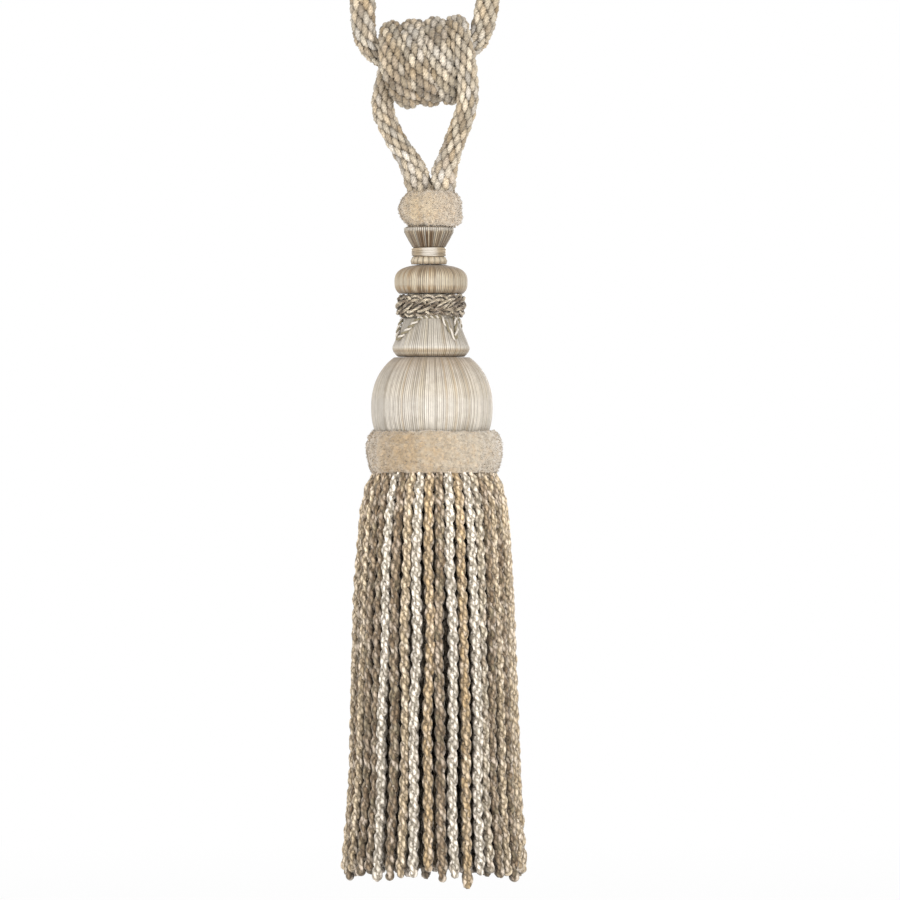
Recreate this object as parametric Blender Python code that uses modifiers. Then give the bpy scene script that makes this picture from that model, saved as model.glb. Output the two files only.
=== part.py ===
"""Curtain tieback tassel: a closed tie loop of cable cord, a hanger cord wound round it in
a barrel knot, and a tassel with a thread-wound head, two cut-pile ruffs and a corded skirt.

World coordinates in metres, +Z up, +X to the right of someone who faces the tassel along
+Y. The tassel hangs. The origin is the underside of the tie loop's highest point, where
the loop bears on what holds it, straight above the tassel's axis. The driving sizes below
are in millimetres, and MM makes metres of them.
"""

import math

import bmesh
import bpy
import numpy as np

MM = 0.001
TURN = 2 * math.pi
GAP = 0.3  # between neighbouring pieces
SHARP_EDGE = math.radians(50)
AXIS_MERGE = 1e-6  # metres within which a turned form's points on its axis become one

# Cable cord: six strands in an S lay, which shows as grooves falling to the right.
CORD_STRANDS = 6
CORD_LAY = 33.5  # length of cord for one full turn of a strand
CORD_GROOVE = 0.75  # depth between two strands
CORD_STEP = 3.7  # spacing of the sections along a cord
ROUTE_POINTS = 24  # points worked out between two rows of a route

# The tie loop's centre line, once round: right along the knot's core, where the join
# thickens it, up the right arm, over the top and down the left arm.
TIE_ROUTE = (
    # x, y, z, cord radius
    (-16.5, 0.0, -87.0, 5.2),
    (-10.5, 0.0, -87.8, 6.2),
    (-4.0, 0.0, -87.9, 6.4),
    (3.5, 0.0, -87.0, 6.2),
    (10.0, 0.0, -85.2, 5.0),
    (15.9, 0.0, -82.2, 5.0),
    (19.8, 0.0, -78.4, 5.2),
    (22.0, 0.0, -73.0, 5.4),
    (24.3, 0.0, -61.3, 5.5),
    (27.5, 0.0, -45.0, 5.5),
    (28.4, 0.0, -27.0, 5.5),
    (23.4, 0.0, -9.4, 5.6),
    (13.4, 0.0, 1.9, 5.7),
    (0.0, 0.0, 5.7, 5.7),
    (-14.0, 0.0, 1.5, 5.8),
    (-25.0, 0.0, -11.5, 5.9),
    (-30.5, 0.0, -30.5, 6.0),
    (-31.2, 0.0, -47.5, 6.0),
    (-29.6, 0.0, -61.3, 6.0),
    (-29.3, 0.0, -71.5, 5.6),
    (-27.9, 0.0, -79.2, 5.2),
    (-23.6, 0.0, -84.4, 5.0),
)

# Barrel knot: the hanger cord rises behind the core, makes three and a half turns round it
# and leaves down the front at the right. Its axis rises to the right.
KNOT_X, KNOT_Z = -4.5, -88.3  # middle of the axis, at y = 0
KNOT_TILT = math.radians(5.2)
KNOT_FIRST = -11.3  # the first turn's top, measured along the axis from its middle
KNOT_PITCH = 9.2
KNOT_HALF_HEIGHT = 14.4  # axis to the centre line of the cord, up and down
KNOT_HALF_DEPTH = 12.3  # the same, to the front and back
KNOT_TURNS = (-0.25, 3.25)  # a whole number is a turn's top
KNOT_CORD = 5.1  # cord radius in the knot, across the axis
KNOT_SQUEEZE = 0.86  # along the axis the packed turns are this much narrower
KNOT_BULGE = 3.6  # how far the first turn's front leans to the left
KNOT_LOOSE = 0.08  # how much less the front of the first turn is squeezed
KNOT_ROWS_A_TURN = 12

# The hanger cord's two legs, from the tassel's head up to the knot's back and from its
# front down to the head.
LEFT_LEG = (
    # x, y, z, cord radius
    (-5.2, 0.0, -158.5, 4.65),
    (-5.2, 0.0, -150.0, 4.65),
    (-5.3, 0.2, -142.5, 4.7),
    (-6.9, 1.0, -136.0, 5.1),
    (-9.9, 2.6, -129.8, 4.95),
    (-13.9, 4.8, -123.8, 4.9),
    (-18.3, 7.4, -115.3, 4.95),
    (-20.7, 9.1, -109.5, 5.15),
    (-21.0, 10.8, -103.5, 5.2),
    (-19.6, 12.0, -96.5, 5.2),
)
RIGHT_LEG = (
    # x, y, z, cord radius
    (15.4, -12.2, -95.0, 4.9),
    (15.7, -11.2, -103.0, 4.9),
    (14.4, -9.4, -110.5, 4.9),
    (10.9, -6.6, -119.8, 4.9),
    (7.8, -3.5, -128.5, 4.9),
    (5.4, -1.2, -136.0, 5.0),
    (4.7, -0.2, -142.5, 4.7),
    (4.6, 0.0, -150.0, 4.65),
    (4.6, 0.0, -158.5, 4.65),
)

# The pile's lumps are waves: how many go round a ruff, and how far a row slides them.
PILE_WAVES = (
    (7, 1.3),
    (11, -2.1),
)

# Top ruff: a ring of cut pile round the two legs.
LEGS_X = -0.3  # middle between the legs in the head
LEGS_HALF_SPACING = 4.9
RUFF_HOLE = 5.1  # radius round each leg
TOP_RUFF_TOP, TOP_RUFF_BOTTOM = -143.8, -158.5
TOP_RUFF_RADIUS = 13.3
TOP_RUFF_LUMP = 0.35
TOP_RUFF_SEGMENTS = 36
TOP_RUFF_ROWS = (1.0, 0.6, 0.15, -0.35, -0.8, -1.0)  # heights, from 1 at the top to -1
TOP_RUFF_ROUNDING, TOP_RUFF_FULLNESS = 0.3, 3.2  # how far and how late its edges draw in
TOP_RUFF_DIP, TOP_RUFF_FLARE = 1.2, 0.5  # the hole's rim: below the pile, and wider

# Turned moulds and rings of the head, as tables of height and radius, top first.
NECK_X = -1.1
NECK = (
    # z, radius
    (-158.8, 9.4),
    (-159.5, 10.6),
    (-161.2, 10.4),
    (-164.6, 8.9),
    (-167.5, 7.2),
    (-167.7, 6.5),
    (-171.7, 6.5),
    (-171.9, 7.2),
    (-173.5, 8.0),
    (-175.0, 7.6),
)
NECK_RIBS, NECK_RIB = 20, 0.22
BINDING_TOP, BINDING_BOTTOM = -168.0, -171.4
BINDING_INNER, BINDING_OUTER = 6.8, 7.5
BINDING_BEVEL, BINDING_BEVEL_HEIGHT = 0.2, 0.5
BINDING_SEGMENTS = 32

BUN_X = -0.2
BUN_TOP, BUN_MIDDLE, BUN_BOTTOM = -175.3, -182.6, -187.6
BUN_RADIUS, BUN_HALF_HEIGHT, BUN_FULLNESS = 15.8, 7.5, 2.8
BUN_RIBS, BUN_RIB = 22, 0.22
BUN_HALF_ROWS = 5  # rows from the middle to the top, and to the bottom

GIMP_X, GIMP_Z = -0.3, -193.0
GIMP_RADIUS = 12.9  # axis to the middle of the ring
GIMP_HALF_WIDTH, GIMP_HALF_HEIGHT = 2.0, 5.0
GIMP_STRANDS, GIMP_TURNS = 6, 4
GIMP_GROOVE = 0.45
GIMP_SECTIONS = 40

CONE_X = -0.2
CONE = (
    # z, radius
    (-187.9, 10.4),
    (-198.0, 10.4),
    (-198.4, 11.5),
    (-203.5, 13.7),
    (-207.0, 15.2),
    (-210.2, 16.6),
    (-211.3, 16.7),
    (-212.6, 16.2),
    (-213.8, 15.3),
    (-214.7, 14.3),
)
CONE_RIBS, CONE_RIB = 20, 0.15

# Zigzag: a thin two-ply cord laid over the cone, in and out from under the gimp.
ZIGZAG_RADIUS = 0.65
ZIGZAG_SIDES = 5
ZIGZAG_LIFT = 1.08  # cone's surface to the cord's middle
ZIGZAG_HIGH, ZIGZAG_LOW = -199.6, -207.6
ZIGZAG_STEPS = 5  # sections between two corners
ZIGZAG_CORNERS = (
    # degrees to the right of the front, at the high corners and the low ones in turn
    (0, 47),
    (88, 127),
    (166, 206),
    (246, 288),
)

BALL_X = 0.2
BALL_TOP, BALL_MIDDLE, BALL_BOTTOM = -215.0, -236.5, -252.1
BALL_RADIUS, BALL_FULLNESS = 26.2, 2.2
BALL_ROWS, BALL_SEGMENTS = 10, 44

# The lower ruff, the skirt and its backing hang a little to the right of the moulds.
SKIRT_X = 1.2
LOWER_RUFF = (
    # z, radius: once round the ring's section
    (-247.7, 25.5),
    (-246.6, 26.7),
    (-248.8, 28.0),
    (-253.4, 28.7),
    (-258.0, 28.6),
    (-262.0, 27.7),
    (-264.5, 26.4),
    (-264.3, 25.4),
    (-256.0, 25.2),
)
LOWER_RUFF_LUMP = 0.3
LOWER_RUFF_INNER_ROWS = (0, 7, 8)  # against the ball and the backing, so without lumps
LOWER_RUFF_SEGMENTS = 44
BACKING_TOP, BACKING_BOTTOM = -252.4, -264.4
BACKING_RADIUS = 24.8
BACKING_SEGMENTS = 42

# The skirt's cords hang in rings, each cord a four-sided strand fused into the backing.
STRAND_ROWS = (
    # strands, share of the skirt's radius, root radius, width at the root, full width, depth
    (42, 1.0, 22.4, 2.9, 4.4, 4.2),
    (28, 0.83, 16.6, 3.0, 4.4, 4.2),
    (14, 0.58, 10.6, 3.2, 4.6, 4.4),
    (5, 0.27, 4.2, 3.2, 4.6, 4.4),
)
SKIRT_SHAPE = (
    # z, radius to the middle of the outer cords
    (-266.0, 24.4),
    (-270.0, 27.4),
    (-282.0, 30.0),
    (-318.0, 32.4),
    (-396.0, 35.0),
)
ROOT_TOP = -261.5
FULL_WIDTH = -288.0  # height where the cords reach their full width
SKIRT_END, SKIRT_END_RADIUS = -437.0, 37.6
LONGEST_CORD = (0, 34)  # row and number of the longest cord, at the front on the right
LONGEST_HANG = 5.7  # how far it hangs below the even end
END_SPREAD = 1.6  # how unevenly the cords end
END_WAVES = (
    # step from cord to cord, slide from row to row
    (5.1, 2.3),
    (2.7, 0.0),
)
END_LENGTH, END_TAPER = 3.0, 0.6  # the rounded end and its narrowing

# Colour (linear red, green, blue) and roughness of each yarn.
CABLE_YARN = (0.52, 0.43, 0.32), 0.85
PILE = (0.66, 0.53, 0.38), 0.95
COVERING_THREAD = (0.62, 0.54, 0.42), 0.6
BINDING_THREAD = (0.80, 0.76, 0.68), 0.4
GIMP_CORD = (0.34, 0.28, 0.22), 0.7
ZIGZAG_CORD = (0.45, 0.42, 0.34), 0.7
SKIRT_CORD = (0.50, 0.42, 0.32), 0.85


def collection(name):
    """A new collection in the scene."""
    made = bpy.data.collections.new(name)
    bpy.context.scene.collection.children.link(made)
    return made


def yarn_material(name, colour_and_roughness):
    """A Principled BSDF of one yarn."""
    colour, roughness = colour_and_roughness
    material = bpy.data.materials.new(name)
    material.use_nodes = True
    shader = material.node_tree.nodes["Principled BSDF"]
    shader.inputs["Base Color"].default_value = (*colour, 1.0)
    shader.inputs["Roughness"].default_value = roughness
    shader.inputs["Metallic"].default_value = 0.0
    return material


def add_object(name, mesh, where, yarn):
    """One named object with a material of its own."""
    piece = bpy.data.objects.new(name, mesh)
    where.objects.link(piece)
    mesh.materials.append(yarn_material(name + "_yarn", yarn))
    mesh.shade_smooth()
    mesh.set_sharp_from_angle(angle=SHARP_EDGE)
    return piece


def cap(shape, ring):
    """Close a ring of points with a fan of triangles round its middle."""
    middle = shape.verts.new(np.mean([point.co for point in ring], axis=0))
    for one, other in zip(ring, ring[1:] + ring[:1]):
        shape.faces.new((one, other, middle))


def loft(name, bodies, closed=False):
    """A mesh of one or more bodies, each a run of sections with equally many points.

    A run is capped at both ends with a fan of triangles, or closed is True and its last
    section meets its first. Points are in millimetres.
    """
    shape = bmesh.new()
    for sections in bodies:
        rows = [[shape.verts.new(point * MM) for point in section] for section in sections]
        count = len(rows[0])
        pairs = list(zip(rows, rows[1:] + rows[:1])) if closed else list(zip(rows, rows[1:]))
        for upper, lower in pairs:
            for i in range(count):
                j = (i + 1) % count
                shape.faces.new((upper[i], upper[j], lower[j], lower[i]))
        if not closed:
            cap(shape, rows[0])
            cap(shape, rows[-1])
    bmesh.ops.recalc_face_normals(shape, faces=shape.faces)
    if shape.calc_volume(signed=True) < 0:
        bmesh.ops.reverse_faces(shape, faces=shape.faces)
    mesh = bpy.data.meshes.new(name)
    shape.to_mesh(mesh)
    shape.free()
    return mesh


# Cable cords


def smooth_route(rows, step, closed=False):
    """Rows spaced evenly by step along a smooth curve through the given ones.

    The first three columns are the point, and further ones change smoothly with it.
    """
    rows = np.array(rows, float)
    if closed:
        rows = np.vstack([rows[-1:], rows, rows[:2]])
    else:
        rows = np.vstack([2 * rows[0] - rows[1], rows, 2 * rows[-1] - rows[-2]])
    spans = np.linalg.norm(np.diff(rows[:, :3], axis=0), axis=1)[:, None]
    slopes = np.diff(rows, axis=0) / spans
    before, after = spans[:-1], spans[1:]
    tangents = (slopes[:-1] * after + slopes[1:] * before) / (before + after)
    fine = []
    h = np.linspace(0, 1, ROUTE_POINTS, endpoint=False)[:, None]
    for i in range(len(tangents) - 1):
        start, end, span = rows[i + 1], rows[i + 2], spans[i + 1]
        fine.append(
            (2 * h**3 - 3 * h**2 + 1) * start
            + (h**3 - 2 * h**2 + h) * span * tangents[i]
            + (3 * h**2 - 2 * h**3) * end
            + (h**3 - h**2) * span * tangents[i + 1]
        )
    fine = np.vstack([*fine, rows[-2:-1]])
    run = np.linalg.norm(np.diff(fine[:, :3], axis=0), axis=1)
    run = np.concatenate([[0], np.cumsum(run)])
    places = np.linspace(0, run[-1], round(run[-1] / step) + 1)
    even = np.column_stack([np.interp(places, run, column) for column in fine.T])
    return even[:-1] if closed else even


def carried_frames(points, closed=False):
    """Tangents, and two normals carried along the points with no twist of their own."""
    if closed:
        tangents = np.roll(points, -1, axis=0) - np.roll(points, 1, axis=0)
    else:
        tangents = np.gradient(points, axis=0)
    tangents /= np.linalg.norm(tangents, axis=1)[:, None]
    normal = np.cross(tangents[0], (0.0, 1.0, 0.0))
    firsts = []
    for tangent in tangents:
        normal = normal - tangent * (normal @ tangent)
        normal /= np.linalg.norm(normal)
        firsts.append(normal)
    firsts = np.array(firsts)
    return tangents, firsts, np.cross(tangents, firsts)


def cord_sections(rows, closed=False):
    """The lobed sections of a cable cord.

    A row is x, y, z, cord radius, and how much narrower the cord is along the knot's axis.
    """
    points = rows[:, :3]
    tangents, firsts, seconds = carried_frames(points, closed)
    gaps = np.linalg.norm(np.diff(points, axis=0), axis=1)
    run = np.concatenate([[0], np.cumsum(gaps)])
    twist = -TURN * run / CORD_LAY
    if closed:
        length = run[-1] + np.linalg.norm(points[0] - points[-1])
        turns = round(length / CORD_LAY)
        slip = math.atan2(firsts[-1] @ seconds[0], firsts[-1] @ firsts[0])
        twist = -(turns * TURN + slip) * run / length
    axis = np.array([math.cos(KNOT_TILT), 0.0, math.sin(KNOT_TILT)])
    sections = []
    for i, point in enumerate(points):
        angles = twist[i] + np.arange(2 * CORD_STRANDS) * TURN / (2 * CORD_STRANDS)
        radii = rows[i, 3] - CORD_GROOVE * (np.arange(2 * CORD_STRANDS) % 2)
        offsets = (
            np.cos(angles)[:, None] * firsts[i] + np.sin(angles)[:, None] * seconds[i]
        ) * radii[:, None]
        across = axis - tangents[i] * (axis @ tangents[i])
        across /= np.linalg.norm(across)
        offsets -= np.outer(offsets @ across, across) * (1 - rows[i, 4])
        sections.append(point + offsets)
    return sections


def knot_rows():
    """The hanger cord's rows through the barrel knot."""
    along = np.array([math.cos(KNOT_TILT), 0.0, math.sin(KNOT_TILT)])
    upward = np.array([-math.sin(KNOT_TILT), 0.0, math.cos(KNOT_TILT)])
    first, last = KNOT_TURNS
    rows = []
    for turn in np.linspace(first, last, round((last - first) * KNOT_ROWS_A_TURN) + 1):
        front = max(0.0, math.sin(TURN * turn)) ** 2
        early = max(0.0, 1 - turn / last)
        place = KNOT_FIRST + KNOT_PITCH * turn - KNOT_BULGE * front * early
        point = np.array([KNOT_X, 0.0, KNOT_Z]) + along * place
        point += upward * KNOT_HALF_HEIGHT * math.cos(TURN * turn)
        point[1] -= KNOT_HALF_DEPTH * math.sin(TURN * turn)
        rows.append((*point, KNOT_CORD, KNOT_SQUEEZE + KNOT_LOOSE * front * early))
    return rows


def tie_loop(where):
    rows = smooth_route([(*row, 1.0) for row in TIE_ROUTE], CORD_STEP, closed=True)
    mesh = loft("tie_loop", [cord_sections(rows, closed=True)], closed=True)
    return add_object("tie_loop", mesh, where, CABLE_YARN)


def hanger_cord(where):
    left = [(*row, 1.0) for row in LEFT_LEG]
    right = [(*row, 1.0) for row in RIGHT_LEG]
    rows = smooth_route(left + knot_rows() + right, CORD_STEP)
    mesh = loft("hanger_cord", [cord_sections(rows)])
    return add_object("hanger_cord", mesh, where, CABLE_YARN)


# Ruffs


def lumps(angle, row):
    """An uneven height from -1 to 1 for cut pile, by angle and row of the section."""
    heights = [math.sin(n * angle + slide * row) for n, slide in PILE_WAVES]
    return sum(heights) / len(heights)


def hole_radius(angle, radius):
    """Centre to edge of a long hole with round ends, which passes both legs."""
    sideways, forward = abs(math.cos(angle)), abs(math.sin(angle))
    if forward > 0 and radius / forward * sideways <= LEGS_HALF_SPACING:
        return radius / forward
    reach = LEGS_HALF_SPACING
    return reach * sideways + math.sqrt(radius**2 - (reach * forward) ** 2)


def top_ruff(where):
    middle = (TOP_RUFF_TOP + TOP_RUFF_BOTTOM) / 2
    half = (TOP_RUFF_TOP - TOP_RUFF_BOTTOM) / 2
    sections = []
    for i in range(TOP_RUFF_SEGMENTS):
        angle = TURN * i / TOP_RUFF_SEGMENTS
        profile = [
            (hole_radius(angle, RUFF_HOLE), TOP_RUFF_BOTTOM),
            (hole_radius(angle, RUFF_HOLE + TOP_RUFF_FLARE), TOP_RUFF_TOP - TOP_RUFF_DIP),
        ]
        for row, share in enumerate(TOP_RUFF_ROWS):
            drawn_in = TOP_RUFF_ROUNDING * abs(share) ** TOP_RUFF_FULLNESS
            full = TOP_RUFF_RADIUS * (1 - drawn_in) + TOP_RUFF_LUMP * lumps(angle, row)
            profile.append((full, middle + half * share))
        ring = [
            np.array([LEGS_X + r * math.cos(angle), r * math.sin(angle), z])
            for r, z in profile
        ]
        sections.append(ring)
    mesh = loft("top_ruff", [sections], closed=True)
    return add_object("top_ruff", mesh, where, PILE)


def lower_ruff(where):
    sections = []
    for i in range(LOWER_RUFF_SEGMENTS):
        angle = TURN * i / LOWER_RUFF_SEGMENTS
        ring = []
        for row, (z, radius) in enumerate(LOWER_RUFF):
            if row not in LOWER_RUFF_INNER_ROWS:
                radius += LOWER_RUFF_LUMP * lumps(2 * angle, row)
            x = SKIRT_X + radius * math.cos(angle)
            ring.append(np.array([x, radius * math.sin(angle), z]))
        sections.append(ring)
    mesh = loft("lower_ruff", [sections], closed=True)
    return add_object("lower_ruff", mesh, where, PILE)


# Turned moulds


def ribbed_mould(name, profile, x, ribs, rib, where):
    """A solid turned about a vertical axis at x, its covering threads raised as ribs."""
    sections = []
    for z, radius in profile:
        ring = []
        for i in range(2 * ribs):
            angle = TURN * i / (2 * ribs)
            r = radius - rib * (i % 2)
            ring.append(np.array([x + r * math.cos(angle), r * math.sin(angle), z]))
        sections.append(ring)
    mesh = loft(name, [sections])
    return add_object(name, mesh, where, COVERING_THREAD)


def full_round(heights, middle, half_height, radius, fullness):
    """Height and radius rows of a round form fuller than an ellipse."""
    rows = []
    for z in heights:
        share = abs(z - middle) / half_height
        rows.append((z, radius * (1 - share**fullness) ** (1 / fullness)))
    return rows


def bun(where):
    spread = np.sin(np.linspace(0, math.pi / 2, BUN_HALF_ROWS))
    upper = BUN_MIDDLE + (BUN_TOP - BUN_MIDDLE) * spread[::-1]
    lower = BUN_MIDDLE + (BUN_BOTTOM - BUN_MIDDLE) * spread[1:]
    heights = [*upper, *lower]
    profile = full_round(heights, BUN_MIDDLE, BUN_HALF_HEIGHT, BUN_RADIUS, BUN_FULLNESS)
    return ribbed_mould("bun", profile, BUN_X, BUN_RIBS, BUN_RIB, where)


def screwed(name, profile, x, segments, yarn, where):
    """A profile of height and radius rows turned by a Screw modifier."""
    shape = bmesh.new()
    points = [shape.verts.new((r * MM, 0.0, z * MM)) for z, r in profile]
    for one, other in zip(points, points[1:]):
        shape.edges.new((one, other))
    mesh = bpy.data.meshes.new(name)
    shape.to_mesh(mesh)
    shape.free()
    piece = add_object(name, mesh, where, yarn)
    piece.location.x = x * MM
    screw = piece.modifiers.new("turn", "SCREW")
    screw.steps = segments
    screw.render_steps = segments
    screw.use_merge_vertices = True
    screw.merge_threshold = AXIS_MERGE
    return piece


def neck_binding(where):
    profile = (
        (BINDING_TOP, BINDING_INNER),
        (BINDING_TOP, BINDING_OUTER - BINDING_BEVEL),
        (BINDING_TOP - BINDING_BEVEL_HEIGHT, BINDING_OUTER),
        (BINDING_BOTTOM + BINDING_BEVEL_HEIGHT, BINDING_OUTER),
        (BINDING_BOTTOM, BINDING_OUTER - BINDING_BEVEL),
        (BINDING_BOTTOM, BINDING_INNER),
        (BINDING_TOP, BINDING_INNER),
    )
    return screwed("neck_binding", profile, NECK_X, BINDING_SEGMENTS, BINDING_THREAD, where)


def ball(where):
    heights = np.linspace(BALL_TOP, BALL_BOTTOM, BALL_ROWS)
    rows = full_round(heights, BALL_MIDDLE, BALL_RADIUS, BALL_RADIUS, BALL_FULLNESS)
    profile = [(BALL_TOP, 0.0), *rows, (BALL_BOTTOM, 0.0)]
    return screwed("ball", profile, BALL_X, BALL_SEGMENTS, COVERING_THREAD, where)


# Cords laid round the head


def gimp_ring(where):
    """A ring of thick strands twisted together, taller than it is wide."""
    count = 2 * GIMP_STRANDS
    sections = []
    for i in range(GIMP_SECTIONS):
        angle = TURN * i / GIMP_SECTIONS
        outward = np.array([math.cos(angle), math.sin(angle), 0.0])
        ring = []
        for k in range(count):
            around = TURN * k / count + GIMP_TURNS * angle
            groove = GIMP_GROOVE * (k % 2)
            wide = (GIMP_HALF_WIDTH - groove) * math.cos(around)
            tall = (GIMP_HALF_HEIGHT - groove) * math.sin(around)
            point = outward * (GIMP_RADIUS + wide)
            point[0] += GIMP_X
            point[2] = GIMP_Z + tall
            ring.append(point)
        sections.append(ring)
    mesh = loft("gimp_ring", [sections], closed=True)
    return add_object("gimp_ring", mesh, where, GIMP_CORD)


def cone_radius(z):
    """The cone's outer radius at a height."""
    heights, radii = zip(*reversed(CONE))
    return float(np.interp(z, heights, radii))


def zigzag_cord(where):
    corners = []
    for high, low in ZIGZAG_CORNERS:
        corners += [(high, ZIGZAG_HIGH), (low, ZIGZAG_LOW)]
    corners.append((ZIGZAG_CORNERS[0][0] + 360, ZIGZAG_HIGH))
    centres = []
    for (start, start_z), (end, end_z) in zip(corners, corners[1:]):
        for step in range(ZIGZAG_STEPS):
            share = step / ZIGZAG_STEPS
            angle = math.radians(start + (end - start) * share - 90)
            z = start_z + (end_z - start_z) * share
            r = cone_radius(z) + ZIGZAG_LIFT
            centres.append((CONE_X + r * math.cos(angle), r * math.sin(angle), z))
    centres = np.array(centres)
    _, firsts, seconds = carried_frames(centres, closed=True)
    angles = np.arange(ZIGZAG_SIDES) * TURN / ZIGZAG_SIDES
    slip = math.atan2(firsts[-1] @ seconds[0], firsts[-1] @ firsts[0])
    sections = []
    for i, centre in enumerate(centres):
        turned = angles - slip * i / len(centres)
        around = np.outer(np.cos(turned), firsts[i]) + np.outer(np.sin(turned), seconds[i])
        sections.append(centre + ZIGZAG_RADIUS * around)
    mesh = loft("zigzag_cord", [sections], closed=True)
    return add_object("zigzag_cord", mesh, where, ZIGZAG_CORD)


# Skirt


def strand_end(row, number):
    """How far one cord ends above the skirt's even end."""
    uneven = np.mean([math.sin(step * number + slide * row) for step, slide in END_WAVES])
    longest = LONGEST_HANG if (row, number) == LONGEST_CORD else 0.0
    return END_SPREAD * uneven - longest


def strand_sections(row, number):
    """One hanging cord of the skirt, from inside the backing to its rounded end."""
    count, share, root_radius, root_width, width, depth = STRAND_ROWS[row]
    angle = TURN * (number + 0.5 * (row % 2)) / count
    outward = np.array([math.cos(angle), math.sin(angle), 0.0])
    sideways = np.array([-math.sin(angle), math.cos(angle), 0.0])
    end = SKIRT_END + strand_end(row, number)
    places = [(ROOT_TOP, root_radius, root_width)]
    for z, radius in SKIRT_SHAPE if row == 0 else SKIRT_SHAPE[1::2]:
        grown = min(1.0, (ROOT_TOP - z) / (ROOT_TOP - FULL_WIDTH))
        places.append((z, radius * share, root_width + (width - root_width) * grown))
    places.append((end + END_LENGTH, SKIRT_END_RADIUS * share, width))
    places.append((end, SKIRT_END_RADIUS * share, width * END_TAPER))
    sections = []
    for z, radius, wide in places:
        deep = depth * wide / width
        corners = ((-wide / 2, 0), (0, -deep / 2), (wide / 2, 0), (0, deep / 2))
        centre = outward * radius + np.array([SKIRT_X, 0.0, z])
        sections.append([centre + sideways * a + outward * b for a, b in corners])
    return sections


def skirt(where, helpers):
    """The backing disc with every cord's root fused into it."""
    strands = []
    for row, columns in enumerate(STRAND_ROWS):
        strands += [strand_sections(row, number) for number in range(columns[0])]
    cords = add_object("skirt_strands", loft("skirt_strands", strands), helpers, SKIRT_CORD)
    cords.hide_render = True
    cords.display_type = "WIRE"
    disc = []
    for z in (BACKING_TOP, BACKING_BOTTOM):
        ring = []
        for i in range(BACKING_SEGMENTS):
            angle = TURN * (i + 0.5) / BACKING_SEGMENTS
            x = SKIRT_X + BACKING_RADIUS * math.cos(angle)
            ring.append(np.array([x, BACKING_RADIUS * math.sin(angle), z]))
        disc.append(ring)
    piece = add_object("skirt", loft("skirt", [disc]), where, SKIRT_CORD)
    union = piece.modifiers.new("roots", "BOOLEAN")
    union.operation = "UNION"
    union.object = cords
    return piece


def main():
    for old in list(bpy.data.objects):
        bpy.data.objects.remove(old)
    parts = collection("curtain_tieback_tassel")
    helpers = collection("cutters")
    tie_loop(parts)
    hanger_cord(parts)
    top_ruff(parts)
    ribbed_mould("neck", NECK, NECK_X, NECK_RIBS, NECK_RIB, parts)
    neck_binding(parts)
    bun(parts)
    gimp_ring(parts)
    ribbed_mould("cone", CONE, CONE_X, CONE_RIBS, CONE_RIB, parts)
    zigzag_cord(parts)
    ball(parts)
    lower_ruff(parts)
    skirt(parts, helpers)


main()
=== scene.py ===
"""Looks of the curtain tieback tassel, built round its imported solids.

World coordinates are the part's own, in metres: +Z up, the front faces -Y. Sizes below are in
millimetres, as in the part, and MM makes metres of them. Colours are sRGB as seen, from 0 to
255, and srgb() makes them linear. A tone is a number that a linear colour is multiplied by.
"""

import math

import bpy
import numpy as np
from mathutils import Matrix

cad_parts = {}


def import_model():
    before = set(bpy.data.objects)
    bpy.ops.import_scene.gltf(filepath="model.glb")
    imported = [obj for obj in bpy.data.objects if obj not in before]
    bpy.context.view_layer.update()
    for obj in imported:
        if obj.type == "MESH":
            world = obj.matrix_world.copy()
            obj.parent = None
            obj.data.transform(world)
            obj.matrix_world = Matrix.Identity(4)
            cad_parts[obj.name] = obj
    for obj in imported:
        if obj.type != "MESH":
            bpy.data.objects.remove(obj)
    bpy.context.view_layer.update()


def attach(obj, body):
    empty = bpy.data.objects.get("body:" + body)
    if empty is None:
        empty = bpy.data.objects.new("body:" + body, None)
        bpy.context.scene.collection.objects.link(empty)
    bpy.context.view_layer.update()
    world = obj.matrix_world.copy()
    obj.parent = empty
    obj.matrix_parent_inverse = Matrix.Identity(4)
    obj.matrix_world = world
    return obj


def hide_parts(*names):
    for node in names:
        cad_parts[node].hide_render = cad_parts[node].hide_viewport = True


MM = 0.001
TURN = 2 * math.pi

# Camera: level, from the front, with a long lens.
VIEW_WIDTH = 387.0
VIEW_X, VIEW_Z = 7.96, -254.8
CAMERA_DISTANCE = 3000.0
CAMERA_REACH = 200.0  # metres
SENSOR = 36.0

# Lights and floor, in metres.
LIGHTS = (
    # name, place, width and height, power
    ("key", (0.7, -1.7, -0.1), (0.8, 0.5), 24.0),
    ("fill", (-1.1, -1.45, 0.1), (0.9, 0.6), 12.0),
    ("back", (0.3, 1.8, 0.0), (1.2, 0.8), 20.0),
)
LIGHT_AIM = (0, 0, -0.25)
PURE_WHITE = (1.0, 1.0, 1.0, 1.0)
FLOOR_COLOUR, FLOOR_ROUGHNESS = (0.92, 0.92, 0.92, 1.0), 0.9
FLOOR_Z, FLOOR_HALF = -0.62, 60.0
FLOOR_FADE = (0.6, 3.5)  # how far out it turns into the white surround

TINT_STRENGTH = (0.69, 0.655, 0.59)  # what the yarn reflects of a colour's red, green, blue

# Yarn colours.
WHITE = (242, 238, 233)
PEARL = (230, 226, 223)
IVORY = (231, 222, 206)
CREAM = (222, 208, 186)
BEIGE = (203, 185, 159)
GOLD = (200, 176, 140)
TAN = (174, 146, 110)
STONE = (177, 160, 140)
TAUPE = (146, 128, 108)
GREY = (187, 181, 172)
UMBER = (130, 111, 90)
BROWN = (118, 94, 68)
OLIVE = (146, 138, 117)
# Painted shade: the dark brown laid into the cable cord's grooves.
GROOVE_SHADE_BROWN = (70, 51, 31)
# Painted shade: the near-black laid where skirt cords and gimp plies lie in shade.
PAINTED_SHADE_DARK = (48, 36, 24)


def srgb(colour):
    """Linear red, green and blue of a colour given as seen."""
    share = np.array(colour, float) / 255
    return np.where(share <= 0.04045, share / 12.92, ((share + 0.055) / 1.055) ** 2.4)


def mix(one, other, share):
    """Linear colours mixed point by point."""
    share = np.asarray(share, float)[..., None]
    return one * (1 - share) + other * share


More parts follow.
